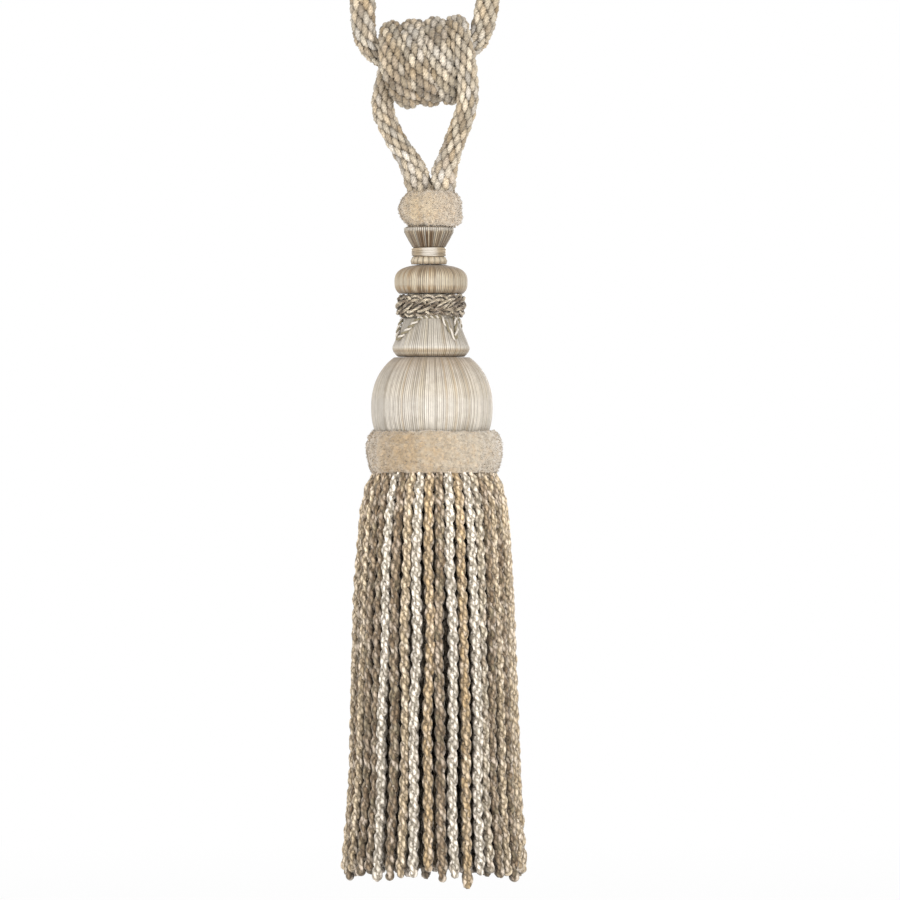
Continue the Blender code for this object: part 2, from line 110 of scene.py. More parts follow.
def from_to(pair, share):
    """The pair's first number where share is 0, and its second where share is 1."""
    return pair[0] + (pair[1] - pair[0]) * share


def smooth_step(values, low, high):
    share = np.clip((values - low) / (high - low), 0, 1)
    return share * share * (3 - 2 * share)


def wander(places, wavelength, seed):
    """Smooth random values from 0 to 1 along places, the same for the same seed."""
    draws = np.random.default_rng(seed)
    start = min(places)
    knots = draws.random(int((max(places) - start) / wavelength) + 3)
    spots = (np.asarray(places) - start) / wavelength
    index = spots.astype(int)
    share = smooth_step(spots - index, 0, 1)
    return knots[index] * (1 - share) + knots[index + 1] * share


def unit(vectors):
    return vectors / np.linalg.norm(vectors, axis=-1, keepdims=True)


def spun(angle, one, other):
    """Directions turned by angle from one towards the other."""
    return np.cos(angle)[:, None] * one + np.sin(angle)[:, None] * other


def ring_angles(count):
    return np.arange(count) * TURN / count


def outward_at(angle):
    return np.column_stack([np.cos(angle), np.sin(angle), 0 * angle])


def run_length(points):
    steps = np.linalg.norm(np.diff(points, axis=0), axis=1)
    return np.concatenate([[0], np.cumsum(steps)])


def rows_at(rows, run, places):
    """Every column of rows at places along their run."""
    return np.column_stack([np.interp(places, run, column) for column in rows.T])


def table_values(table, heights):
    """A table's further columns at heights. Its first column falls from row to row."""
    rows = np.array(table[::-1], float)
    return rows_at(rows[:, 1:], rows[:, 0], heights)


# Meshes from swept grids


class Grid:
    """A skin of rows by columns of points, with a colour at each point.

    points and colours are rows x columns x 3 in millimetres and linear colour. The last
    column meets the first. So does the last row if loop is True, and else both ends are
    capped. Texture coordinates run to around once round, and by length along the rows.
    """

    def __init__(self, points, colours, length, loop=False, around=1):
        self.points = points
        self.colours = np.broadcast_to(colours, points.shape)
        self.length = length
        self.loop = loop
        self.around = around


def grid_faces(grid, first):
    """Corner indices and texture coordinates of a grid's quads."""
    rows, columns = grid.points.shape[:2]
    i = np.arange(rows if grid.loop else rows - 1)[:, None]
    j = np.arange(columns)[None, :]
    down, beside = np.stack([i, i, i + 1, i + 1], axis=-1), np.stack([j, j + 1, j + 1, j], axis=-1)
    corners = (down % rows * columns + beside % columns).reshape(-1, 4)
    along = np.append(grid.length, 2 * grid.length[-1] - grid.length[-2])
    u, v = np.broadcast_arrays(beside * (grid.around / columns), along[down])
    return corners + first, np.stack([u, v], axis=-1).reshape(-1, 4, 2)


def all_faces(grids):
    """Corners, sizes and texture coordinates of all the grids' quads, then of their caps."""
    quads, uvs, fans = [], [], []
    first = 0
    for grid in grids:
        rows, columns = grid.points.shape[:2]
        corners, uv = grid_faces(grid, first)
        quads.append(corners)
        uvs.append(uv)
        if not grid.loop:
            fans.append(first + np.arange(columns))
            fans.append(first + (rows - 1) * columns + np.arange(columns)[::-1])
        first += rows * columns
    quads, uvs = np.vstack(quads), np.vstack(uvs)
    corners = np.concatenate([quads.ravel(), *fans])
    sizes = np.concatenate([np.full(len(quads), 4), [len(fan) for fan in fans]]).astype(int)
    cap_uvs = np.zeros((len(corners) - quads.size, 2))
    return corners, sizes, np.vstack([uvs.reshape(-1, 2), cap_uvs])


def add_piece(name, grids, material, node_names):
    """One object from grids, which stands for CAD nodes, hides them and takes its finish from
    material.
    """
    points = np.vstack([grid.points.reshape(-1, 3) for grid in grids])
    colours = np.vstack([grid.colours.reshape(-1, 3) for grid in grids])
    corners, sizes, uvs = all_faces(grids)
    mesh = bpy.data.meshes.new(name)
    mesh.vertices.add(len(points))
    mesh.vertices.foreach_set("co", (points * MM).ravel())
    mesh.loops.add(len(corners))
    mesh.loops.foreach_set("vertex_index", corners)
    mesh.polygons.add(len(sizes))
    mesh.polygons.foreach_set("loop_start", np.concatenate([[0], np.cumsum(sizes)[:-1]]))
    mesh.update(calc_edges=True)
    mesh.uv_layers.new(name="yarn")
    mesh.uv_layers["yarn"].data.foreach_set("uv", uvs.ravel())
    tint = mesh.color_attributes.new("tint", "FLOAT_COLOR", "POINT")
    seen = np.column_stack([colours * np.array(TINT_STRENGTH), np.ones(len(colours))])
    tint.data.foreach_set("color", seen.ravel())
    mesh.polygons.foreach_set("use_smooth", np.ones(len(sizes), bool))
    mesh.materials.append(material)
    piece = bpy.data.objects.new(name, mesh)
    bpy.context.scene.collection.objects.link(piece)
    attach(piece, "root")
    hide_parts(*node_names)
    return piece


def tube(points, guides, radius, sides, groove=0.0, twist=0.0):
    """The points of a tube's skin, rows x sides x 3.

    guides point roughly across the tube and turn with it. groove is how much deeper each
    side lies, and one number stands for every second side. twist is how far the section is
    turned at each row.
    """
    tangents = unit(np.gradient(points, axis=0))
    firsts = unit(guides - tangents * np.sum(guides * tangents, axis=1)[:, None])
    seconds = np.cross(tangents, firsts)
    angles = ring_angles(sides)[None, :] + np.broadcast_to(twist, len(points))[:, None]
    if np.ndim(groove) == 0:
        groove = groove * (np.arange(sides) % 2)
    radii = np.broadcast_to(radius, len(points))[:, None] - groove
    across, up = firsts[:, None, :], seconds[:, None, :]
    offsets = np.cos(angles)[..., None] * across + np.sin(angles)[..., None] * up
    return points[:, None, :] + radii[..., None] * offsets


def closed_tube(path, guides, radius, sides, groove, twist):
    """A tube's skin round a closed path: worked out with its neighbours over the seam."""
    pad = 3
    wide = np.vstack([path[-pad:], path, path[:pad]])
    guide = np.vstack([guides[-pad:], guides, guides[:pad]])
    turned = np.concatenate([twist[-pad:], twist, twist[:pad]])
    return tube(wide, guide, radius, sides, groove, turned)[pad:-pad]


def closed_frames(points, outward):
    """Two normals at each point of a closed path, the first one nearly outward."""
    ahead = unit(np.roll(points, -1, axis=0) - np.roll(points, 1, axis=0))
    first = unit(outward - ahead * np.sum(outward * ahead, axis=1)[:, None])
    return first, np.cross(ahead, first)


# Materials

KERNEL_LENGTH = 2.2  # along a strand of the skirt from one kernel to the next
GIMP_KERNEL = 2.4
PLY_TWIST = 7.0  # length in which a cable ply's section turns once against its strand
YARNS = {
    # roughness, sheen, fine threads round one yarn, how fast they turn along it, the speckle's
    # grain and strength, the bump's height, kernel length, length of a ply's turn
    "cable": (0.75, 0.25, 6, 0.35, 0.4, 0.34, 0.07, 0.0, PLY_TWIST),
    "skirt": (0.65, 0.25, 2, 0.3, 0.25, 0.16, 0.07, KERNEL_LENGTH, 0.0),
    "covering": (0.38, 0.15, 1, 0.0, 0.22, 0.08, 0.11, 0.0, 0.0),
    "binding": (0.3, 0.2, 2, 0.0, 0.3, 0.05, 0.02, 0.0, 0.0),
    "gimp": (0.55, 0.2, 6, 0.3, 0.22, 0.14, 0.05, GIMP_KERNEL, 0.0),
    "zigzag": (0.6, 0.2, 5, 0.5, 0.2, 0.12, 0.03, 0.0, 0.0),
}
NOISE_RANGE = (0.3, 0.7)  # between these lie most of a noise's values
BROAD_GRAINS = 14  # how many grains the broad patches measure
SPECKLE_LIGHT = 0.45  # how strong the light specks are against the dark ones
BROAD_TONES = (0.9, 1.07)
STREAK_TONES = (0.86, 1.05)
STREAK_RELIEF, BUMP_STRENGTH = 0.5, 0.8
ROUGHNESS_SPREAD = 0.08
YARN_SHEEN_ROUGHNESS, YARN_SPECULAR = 0.5, 0.3
SHEEN_TINT = (1.0, 0.91, 0.8, 1.0)
SHADE_POWERS = (1.0, 1.06, 1.18)  # of red, green and blue: what is darker is browner
KERNEL_LEAN = 1.0  # rows of kernels passed from one ply to the next
KERNEL_STRAY, KERNEL_STRAY_SCALE = 0.9, 420.0  # how far kernels stray, and how often
KERNEL_RISE, KERNEL_SHADES = (0.05, 0.85), (0.43, 1.27)  # heights, and the tones there: painted shade between kernels, painted highlight on them
KERNEL_SPREAD = (0.72, 1.18)  # tone from kernel to kernel
KERNEL_PALE, KERNEL_PALE_FROM, KERNEL_PALE_SHARE = (225, 215, 208), 0.6, 0.5
KERNEL_RELIEF = 3.0
PLY_EDGE = (-0.44, 0.1)  # cosine of the angle off the strand's axis: painted shade line to lit
PLY_EDGE_SHADES = (0.11, 1.13)  # painted shade in the line where two plies meet, and the tone beside it


class Nodes:
    """A material's nodes, made and linked in short calls."""

    def __init__(self, name):
        self.material = bpy.data.materials.new(name)
        self.material.use_nodes = True
        self.tree = self.material.node_tree
        self.shader = self.tree.nodes["Principled BSDF"]

    def add(self, kind, **settings):
        node = self.tree.nodes.new(kind)
        for key, value in settings.items():
            setattr(node, key, value)
        return node

    def link(self, source, target):
        self.tree.links.new(source, target)

    def fill(self, socket, value):
        """Link a socket to another one, or set its number or colour."""
        if isinstance(value, bpy.types.NodeSocket):
            self.link(value, socket)
        else:
            socket.default_value = value

    def finish(self, **values):
        """Set the shader's own sockets, with _ for each space in their names."""
        for name, value in values.items():
            self.fill(self.shader.inputs[name.replace("_", " ")], value)

    def tint(self):
        return self.add("ShaderNodeAttribute", attribute_name="tint").outputs["Color"]

    def noise(self, scale, detail=2.0):
        node = self.add("ShaderNodeTexNoise")
        node.inputs["Scale"].default_value = scale
        node.inputs["Detail"].default_value = detail
        self.link(self.add("ShaderNodeTexCoord").outputs["Object"], node.inputs["Vector"])
        return node.outputs["Fac"]

    def remap(self, value, low, high, new_low, new_high):
        node = self.add("ShaderNodeMapRange")
        self.link(value, node.inputs["Value"])
        ends = {"From Min": low, "From Max": high, "To Min": new_low, "To Max": new_high}
        for socket, number in ends.items():
            node.inputs[socket].default_value = number
        return node.outputs["Result"]

    def blend(self, kind, one, other, factor):
        """Two colours blended. Inputs 6 and 7 are the node's sockets for colours."""
        node = self.add("ShaderNodeMix", data_type="RGBA", blend_type=kind)
        for index, value in ((0, factor), (6, one), (7, other)):
            self.fill(node.inputs[index], value)
        return node.outputs[2]

    def lean(self, tint, colour, share):
        """A tint mixed with a yarn colour by a linked share."""
        return self.blend("MIX", tint, (*(srgb(colour) * TINT_STRENGTH), 1.0), share)

    def math(self, operation, one, other=0.0):
        node = self.add("ShaderNodeMath", operation=operation)
        self.fill(node.inputs[0], one)
        self.fill(node.inputs[1], other)
        return node.outputs[0]

    def times(self, one, other):
        return self.math("MULTIPLY", one, other)

    def toned(self, tone, value, ends, tones):
        """A tone times the one that a value has between two ends."""
        return self.times(tone, self.remap(value, *ends, *tones))

    def shade(self, tint, tone, powers):
        """A tint darkened by a linked tone, its red, green and blue by their own powers."""
        shade = self.add("ShaderNodeCombineColor")
        for socket, power in zip(shade.inputs[:3], powers):
            self.link(self.math("POWER", tone, power), socket)
        return self.blend("MULTIPLY", tint, shade.outputs[0], 1.0)

    def bump(self, height, strength, distance):
        """A normal raised by height, with distance in millimetres."""
        bump = self.add("ShaderNodeBump")
        bump.inputs["Strength"].default_value = strength
        bump.inputs["Distance"].default_value = distance * MM
        self.link(height, bump.inputs["Height"])
        return bump.outputs["Normal"]


def kernel_lattice(nodes, around, along, length):
    """Small kernels set in a diamond lattice: a height from 0 to 1, and each one's own number.

    around counts plies from the groove between two of them, and along is in millimetres.
    """
    stray = nodes.math("SUBTRACT", nodes.noise(KERNEL_STRAY_SCALE, 1.0), 0.5)
    around = nodes.math("ADD", around, nodes.times(stray, KERNEL_STRAY))
    ply = nodes.math("FLOOR", around)
    off = nodes.math("SUBTRACT", around, ply)
    rows = nodes.times(around, KERNEL_LEAN)
    place = nodes.math("ADD", nodes.math("DIVIDE", along, length), rows)
    row = nodes.math("FLOOR", place)
    up = nodes.math("SINE", nodes.times(nodes.math("SUBTRACT", place, row), math.pi))
    across = nodes.math("SINE", nodes.times(off, math.pi))
    cell = nodes.add("ShaderNodeCombineXYZ")
    nodes.link(ply, cell.inputs[0])
    nodes.link(row, cell.inputs[1])
    number = nodes.add("ShaderNodeTexWhiteNoise", noise_dimensions="2D")
    nodes.link(cell.outputs[0], number.inputs["Vector"])
    return nodes.times(across, up), number.outputs["Value"]


def with_kernels(nodes, tint, tone, height, lattice):
    """A yarn's tint, tone and height with a lattice of kernels: painted shade between, painted
    highlight on them.
    """
    raised, number = lattice
    # Painted shade between the kernels and painted highlight on their crests.
    tone = nodes.toned(tone, raised, KERNEL_RISE, KERNEL_SHADES)
    tone = nodes.toned(tone, number, (0.0, 1.0), KERNEL_SPREAD)
    share = nodes.remap(number, KERNEL_PALE_FROM, 1.0, 0.0, KERNEL_PALE_SHARE)
    height = nodes.math("ADD", height, nodes.times(raised, KERNEL_RELIEF))
    return nodes.lean(tint, KERNEL_PALE, share), tone, height


def yarn_material(name):
    """Spun yarn: the points' own colours, streaked by fine threads and a fine speckle.

    A kernel length sets small kernels along each ply, and a ply's turn paints a dark line of
    shade where two plies meet. 0 leaves them out.
    """
    roughness, sheen, threads, slant, grain, speckle, relief, kernel, edge = YARNS[name]
    nodes = Nodes(name + "_yarn")
    tint = nodes.tint()
    split = nodes.add("ShaderNodeSeparateXYZ")
    nodes.link(nodes.add("ShaderNodeUVMap", uv_map="yarn").outputs["UV"], split.inputs[0])
    u, v = split.outputs[:2]
    phase = nodes.math("ADD", nodes.times(u, threads), nodes.times(v, slant))
    wave = nodes.math("SINE", nodes.times(phase, TURN))
    fine = nodes.noise(1 / MM / grain, 3.0)
    broad = nodes.noise(1 / MM / (grain * BROAD_GRAINS))
    specks = nodes.remap(fine, *NOISE_RANGE, 1 - speckle, 1 + speckle * SPECKLE_LIGHT)
    tone = nodes.toned(specks, broad, NOISE_RANGE, BROAD_TONES)
    tone = nodes.toned(tone, wave, (-1.0, 1.0), STREAK_TONES)
    height = nodes.math("ADD", nodes.times(wave, STREAK_RELIEF), fine)
    if kernel:
        lattice = kernel_lattice(nodes, u, v, kernel)
        tint, tone, height = with_kernels(nodes, tint, tone, height, lattice)
    # Painted shade: a dark line where two plies meet.
    if edge:
        turn = nodes.math("ADD", u, nodes.math("DIVIDE", v, edge))
        facing = nodes.math("COSINE", nodes.times(turn, TURN))
        tone = nodes.toned(tone, facing, PLY_EDGE, PLY_EDGE_SHADES)
    rough = (roughness + ROUGHNESS_SPREAD, roughness - ROUGHNESS_SPREAD)
    nodes.finish(
        Base_Color=nodes.shade(tint, tone, SHADE_POWERS),
        Roughness=nodes.remap(fine, *NOISE_RANGE, *rough),
        Normal=nodes.bump(height, BUMP_STRENGTH, relief),
        Sheen_Weight=sheen,
        Sheen_Roughness=YARN_SHEEN_ROUGHNESS,
        Sheen_Tint=SHEEN_TINT,
        Specular_IOR_Level=YARN_SPECULAR,
    )
    return nodes.material


# Camera, light and floor


def set_camera():
    camera = bpy.data.objects.new("camera", bpy.data.cameras.new("camera"))
    bpy.context.scene.collection.objects.link(camera)
    camera.data.sensor_width = SENSOR
    camera.data.lens = SENSOR * CAMERA_DISTANCE / VIEW_WIDTH
    camera.location = (VIEW_X * MM, -CAMERA_DISTANCE * MM, VIEW_Z * MM)
    camera.rotation_euler = (math.pi / 2, 0, 0)
    camera.data.clip_end = CAMERA_REACH
    bpy.context.scene.camera = camera


def area_light(name, place, size, power):
    light = bpy.data.lights.new(name, "AREA")
    light.shape = "RECTANGLE"
    light.size, light.size_y = size
    light.energy = power
    lamp = bpy.data.objects.new(name, light)
    bpy.context.scene.collection.objects.link(lamp)
    lamp.location = place
    direction = np.array(LIGHT_AIM, float) - np.array(place, float)
    across = math.atan2(direction[1], direction[0])
    down = math.atan2(math.hypot(direction[0], direction[1]), -direction[2])
    lamp.rotation_euler = (down, 0, across - math.pi / 2)


def floor_material():
    """A pale matt floor that turns white far out."""
    nodes = Nodes("floor")
    nodes.finish(Base_Color=FLOOR_COLOUR, Roughness=FLOOR_ROUGHNESS)
    far = nodes.add("ShaderNodeEmission")
    far.inputs["Color"].default_value = PURE_WHITE
    distance = nodes.add("ShaderNodeVectorMath", operation="LENGTH")
    nodes.link(nodes.add("ShaderNodeTexCoord").outputs["Object"], distance.inputs[0])
    either = nodes.add("ShaderNodeMixShader")
    nodes.link(nodes.remap(distance.outputs["Value"], *FLOOR_FADE, 0.0, 1.0), either.inputs[0])
    nodes.link(nodes.shader.outputs[0], either.inputs[1])
    nodes.link(far.outputs[0], either.inputs[2])
    nodes.link(either.outputs[0], nodes.tree.nodes["Material Output"].inputs["Surface"])
    return nodes.material


def set_studio():
    """A pale floor well below the tassel, a white surround and soft lights."""
    scene = bpy.context.scene
    scene.view_settings.view_transform = "Standard"
    world = bpy.data.worlds.new("studio")
    world.use_nodes = True
    world.node_tree.nodes["Background"].inputs["Color"].default_value = PURE_WHITE
    world.node_tree.nodes["Background"].inputs["Strength"].default_value = 1.0
    scene.world = world
    for light in LIGHTS:
        area_light(*light)
    mesh = bpy.data.meshes.new("floor")
    signs = ((-1, -1), (1, -1), (1, 1), (-1, 1))
    corners = [(x * FLOOR_HALF, y * FLOOR_HALF, 0) for x, y in signs]
    mesh.from_pydata(corners, [], [(0, 1, 2, 3)])
    mesh.materials.append(floor_material())
    floor = bpy.data.objects.new("floor", mesh)
    floor.location.z = FLOOR_Z
    scene.collection.objects.link(floor)


# Cable cord: the tie loop and the hanger. The routes' points are the part's own, but the loop's
# starts in the knot's core and has one more point at its end. The cords are thicker than the
# part's inside the knot, where the loop enters it and where the legs enter the ruff.

TIE_ROUTE = (
    # x, y, z, cord radius, once round from the middle of the knot's core
    (-4.0, 0.0, -87.9, 8.7),
    (3.5, 0.0, -87.0, 8.3),
    (10.0, 0.0, -85.2, 6.4),
    (15.9, 0.0, -82.2, 5.2),
    (19.8, 0.0, -78.4, 5.2),
    (22.0, 0.0, -73.0, 5.4),
    (24.3, 0.0, -61.3, 5.5),
    (27.5, 0.0, -45.0, 5.5),
    (28.4, 0.0, -27.0, 5.5),
    (23.4, 0.0, -9.4, 5.6),
    (13.4, 0.0, 1.9, 5.7),
    (0.0, 0.0, 5.7, 5.7),
    (-14.0, 0.0, 1.5, 5.8),
    (-25.0, 0.0, -11.5, 5.9),
    (-30.5, 0.0, -30.5, 6.0),
    (-31.2, 0.0, -47.5, 6.0),
    (-29.6, 0.0, -61.3, 6.0),
    (-29.3, 0.0, -71.5, 5.6),
    (-27.9, 0.0, -79.2, 5.2),
    (-23.6, 0.0, -84.4, 5.0),
    (-16.5, 0.0, -87.0, 5.8),
    (-10.5, 0.0, -87.8, 7.6),
    (-4.6, 0.0, -87.9, 8.7),
)
KNOT_X, KNOT_Z = -4.5, -88.3
KNOT_TILT = math.radians(5.2)  # of the barrel, which rises towards +X
KNOT_FIRST, KNOT_PITCH = -11.3, 9.2  # along the barrel: where turn 0 is, and turn to turn
KNOT_HALF_HEIGHT, KNOT_HALF_DEPTH = 14.4, 12.3  # of the cord's middle line
KNOT_TURNS, KNOT_ROWS_A_TURN = (-0.25, 3.25), 12
KNOT_CORD = 5.3
KNOT_BULGE = 3.6  # how far the first turns lie back along the barrel in front
KNOT_PACKED = 0.18  # how much wider the wraps are pressed along the barrel
LEFT_LEG = (
    # x, y, z, cord radius
    (-5.2, 0.0, -158.5, 4.65),
    (-5.2, 0.0, -150.0, 4.9),
    (-5.3, 0.2, -142.5, 5.95),
    (-6.9, 1.0, -136.0, 6.1),
    (-9.9, 2.6, -129.8, 5.3),
    (-13.9, 4.8, -123.8, 4.9),
    (-18.3, 7.4, -115.3, 4.95),
    (-20.7, 9.1, -109.5, 5.15),
    (-21.0, 10.8, -103.5, 5.2),
    (-19.6, 12.0, -96.5, 5.2),
)
RIGHT_LEG = (
    # x, y, z, cord radius
    (15.4, -12.2, -95.0, 4.9),
    (15.7, -11.2, -103.0, 4.9),
    (14.4, -9.4, -110.5, 4.9),
    (10.9, -6.6, -119.8, 4.9),
    (7.8, -3.5, -128.5, 5.1),
    (5.4, -1.2, -136.0, 6.0),
    (4.7, -0.2, -142.5, 5.85),
    (4.6, 0.0, -150.0, 4.9),
    (4.6, 0.0, -158.5, 4.65),
)

CABLE_STEP = 0.9
CURVE_STEPS = 24  # points on a route's curve from one given row to the next
CABLE_LAY = 39.8  # length for one turn of a strand, in an S lay
CABLE_PLY_LAY = 7.2  # length of strand for one turn of its two plies, in a Z lay
# Shares of the cord's radius: axis to strand, strand to ply, and the ply's radius.
STRAND_OUT, PLY_OUT, PLY_RADIUS = 0.61, 0.13, 0.275
PLY_SIDES, PLY_GROOVE = 8, 0.05
STRAND_COLOURS = (
    # first ply, second ply, what both fade to
    (WHITE, IVORY, CREAM),
    (CREAM, BEIGE, STONE),
    (IVORY, GREY, CREAM),
    (BEIGE, GOLD, IVORY),
    (STONE, CREAM, WHITE),
    (PEARL, CREAM, BEIGE),
)
SHARED_TONE = 0.2  # how far every ply leans to the cord's own colour there
SHARED_LENGTH, FADE_LENGTH, TONE_LENGTH = 22, 14, 5  # along a cord, over which each changes
SHARED_SEED, TONE_SEED = 900, 200  # added to the cord's and to the ply's seed
FADE_RANGE, FADE_SHARE = (0.25, 0.9), 0.75
PLY_TONES = (0.54, 1.14)
PLY_RIDGES = (0.88, 1.05)  # painted shade on every second side of a ply, where it is grooved, and the tone of the others
GROOVE_SHADE_DEPTH = (0.58, 0.82)  # shares of the cord's radius: painted shade in the grooves, dark brown to lit
# Painted highlight: the cord's outermost skin lighter, the skin further in a little darker.
CREST_HIGHLIGHT_DEPTH, CREST_HIGHLIGHT_TONES = (0.86, 1.0), (0.9, 1.15)
KNOT_PATCHES = (
    # x, z, reach along X, reach along Z, yarn colour, strength: where colour is laid over the
    # front
    (-8.0, -76.0, 3.2, 3.2, WHITE, 0.95),
    (-3.0, -80.5, 3.2, 3.2, WHITE, 0.95),
    (2.0, -85.0, 3.2, 3.2, WHITE, 0.95),
    (6.8, -89.5, 3.2, 3.2, WHITE, 0.95),
    (-17.0, -84.5, 4.2, 4.0, GOLD, 0.5),
    (-5.8, -92.0, 4.6, 3.4, GOLD, 0.6),
    (8.3, -74.5, 3.4, 5.0, GOLD, 0.55),
    (10.5, -95.0, 2.6, 6.5, GREY, 0.8),
    (-16.5, -97.0, 3.0, 6.0, TAUPE, 0.75),
    (-2.0, -101.5, 4.5, 3.6, TAUPE, 0.75),
    (-11.5, -101.5, 4.6, 3.6, STONE, 0.75),
    (-12.0, -71.5, 6.0, 3.0, STONE, 0.6),
    (2.5, -78.0, 3.2, 3.4, TAUPE, 0.7),
)


def smooth_route(rows, step):
    """Rows spaced evenly by step along a smooth curve through the given ones."""
    rows = np.array(rows, float)
    rows = np.vstack([2 * rows[0] - rows[1], rows, 2 * rows[-1] - rows[-2]])
    spans = np.linalg.norm(np.diff(rows[:, :3], axis=0), axis=1)[:, None]
    slopes = np.diff(rows, axis=0) / spans
    before, after = spans[:-1], spans[1:]
    tangents = (slopes[:-1] * after + slopes[1:] * before) / (before + after)
    fine = []
    h = np.linspace(0, 1, CURVE_STEPS, endpoint=False)[:, None]
    for i in range(len(tangents) - 1):
        start, end, span = rows[i + 1], rows[i + 2], spans[i + 1]
        fine.append(
            (2 * h**3 - 3 * h**2 + 1) * start
            + (h**3 - 2 * h**2 + h) * span * tangents[i]
            + (3 * h**2 - 2 * h**3) * end
            + (h**3 - h**2) * span * tangents[i + 1]
        )
    fine = np.vstack([*fine, rows[-2:-1]])
    run = run_length(fine[:, :3])
    return rows_at(fine, run, np.linspace(0, run[-1], round(run[-1] / step) + 1))


def knot_rows():
    """The hanger cord's rows through the barrel knot, as in the part."""
    along = np.array([math.cos(KNOT_TILT), 0.0, math.sin(KNOT_TILT)])
    upward = np.array([-math.sin(KNOT_TILT), 0.0, math.cos(KNOT_TILT)])
    first, last = KNOT_TURNS
    rows = []
    for turn in np.linspace(first, last, round((last - first) * KNOT_ROWS_A_TURN) + 1):
        front = max(0.0, math.sin(TURN * turn)) ** 2
        early = max(0.0, 1 - turn / last)
        place = KNOT_FIRST + KNOT_PITCH * turn - KNOT_BULGE * front * early
        point = np.array([KNOT_X, 0.0, KNOT_Z]) + along * place
        point += upward * KNOT_HALF_HEIGHT * math.cos(TURN * turn)
        point[1] -= KNOT_HALF_DEPTH * math.sin(TURN * turn)
        packed = max(0.0, min(1.0, turn - first, last - turn))
        rows.append((*point, KNOT_CORD, 1 + KNOT_PACKED * packed))
    return rows


def carried_frames(points):
    """Tangents, and two normals carried along the points with no twist of their own."""
    tangents = unit(np.gradient(points, axis=0))
    normal = np.cross(tangents[0], (0.0, 1.0, 0.0))
    firsts = []
    for tangent in tangents:
        normal = unit(normal - tangent * (normal @ tangent))
        firsts.append(normal)
    firsts = np.array(firsts)
    return tangents, firsts, np.cross(tangents, firsts)


def front_patched(tint, points, patches):
    """The tints at points, with the patches' colours where they lie in front."""
    for x, z, wide, high, colour, strength in patches:
        away = ((points[:, 0] - x) / wide) ** 2 + ((points[:, 2] - z) / high) ** 2
        tint = mix(tint, srgb(colour), strength * np.exp(-away) * (points[:, 1] < 0))
    return tint


def ply_tint(colours, shared, path, run, depth, seed, patches):
    """Rows x sides of a cable ply's tint, with painted shade in the cord's grooves and a painted
    highlight on its crests. depth is each point's share of the cord's radius.
    """
    own, faded = (srgb(colour) for colour in colours)
    fade = smooth_step(wander(run, FADE_LENGTH, seed), *FADE_RANGE)
    tint = mix(mix(own, faded, FADE_SHARE * fade), shared, SHARED_TONE)
    tone = from_to(PLY_TONES, wander(run, TONE_LENGTH, seed + TONE_SEED))
    tint = front_patched(tint, path, patches) * tone[:, None]
    # Painted shade on each ply's groove sides.
    ridge = np.where(np.arange(PLY_SIDES) % 2, *PLY_RIDGES)
    lit = tint[:, None, :] * ridge[None, :, None]
    # Painted shade: the grooves between strands turn dark brown.
    lit = mix(srgb(GROOVE_SHADE_BROWN), lit, smooth_step(depth, *GROOVE_SHADE_DEPTH))
    # Painted highlight on the cord's crests.
    return lit * from_to(CREST_HIGHLIGHT_TONES, smooth_step(depth, *CREST_HIGHLIGHT_DEPTH))[..., None]


def cable_cord(rows, seed, patches):
    """Grids of a cable cord's plies: strands in an S lay, each of two plies."""
    centre, radius, packed = rows[:, :3], rows[:, 3], rows[:, 4]
    tangents, firsts, seconds = carried_frames(centre)
    run = run_length(centre)
    barrel = np.array([math.cos(KNOT_TILT), 0.0, math.sin(KNOT_TILT)])
    across = unit(barrel - tangents * (tangents @ barrel)[:, None])[:, None, :]
    bright = smooth_step(wander(run, SHARED_LENGTH, seed + SHARED_SEED), *NOISE_RANGE)
    shared = mix(srgb(CREAM), srgb(PEARL), bright)
    grids = []
    for strand, (*own_colours, faded) in enumerate(STRAND_COLOURS):
        turn = TURN * (strand / len(STRAND_COLOURS) - run / CABLE_LAY)
        outward = spun(turn, firsts, seconds)
        middle = centre + outward * (STRAND_OUT * radius)[:, None]
        side = np.cross(unit(np.gradient(middle, axis=0)), outward)
        strand_run = run_length(middle)
        for ply, colour in enumerate(own_colours):
            out = spun(TURN * (strand_run / CABLE_PLY_LAY + ply / 2), outward, side)
            path = middle + out * (PLY_OUT * radius)[:, None]
            twist = TURN * strand_run / PLY_TWIST
            skin = tube(path, out, PLY_RADIUS * radius, PLY_SIDES, PLY_GROOVE, twist)
            offsets = skin - centre[:, None, :]
            wider = np.sum(offsets * across, axis=2) * (packed - 1)[:, None]
            depth = np.linalg.norm(offsets, axis=2) / radius[:, None]
            ply_seed = seed + 10 * strand + ply
            tint = ply_tint((colour, faded), shared, path, strand_run, depth, ply_seed, patches)
            grids.append(Grid(skin + wider[..., None] * across, tint, strand_run))
    return grids


def cable_piece(name, node, rows, seed, patches, material):
    rows = smooth_route(rows, CABLE_STEP)
    piece = add_piece(name, cable_cord(rows, seed, patches), material, [node])
    return piece, rows[:, :3]


def make_cables():
    material = yarn_material("cable")
    left, right, loop_rows = (
        [(*row, 1.0) for row in rows] for rows in (LEFT_LEG, RIGHT_LEG, TIE_ROUTE)
    )
    hanger_rows = left + knot_rows() + right
    hanger, hanger_path = cable_piece(
        "hanger_cable", "hanger_cord", hanger_rows, 2, KNOT_PATCHES, material
    )
    loop, loop_path = cable_piece("tie_loop_cable", "tie_loop", loop_rows, 1, (), material)


# Skirt: cords of two strands in an S lay, each cord one yarn folded back on itself.

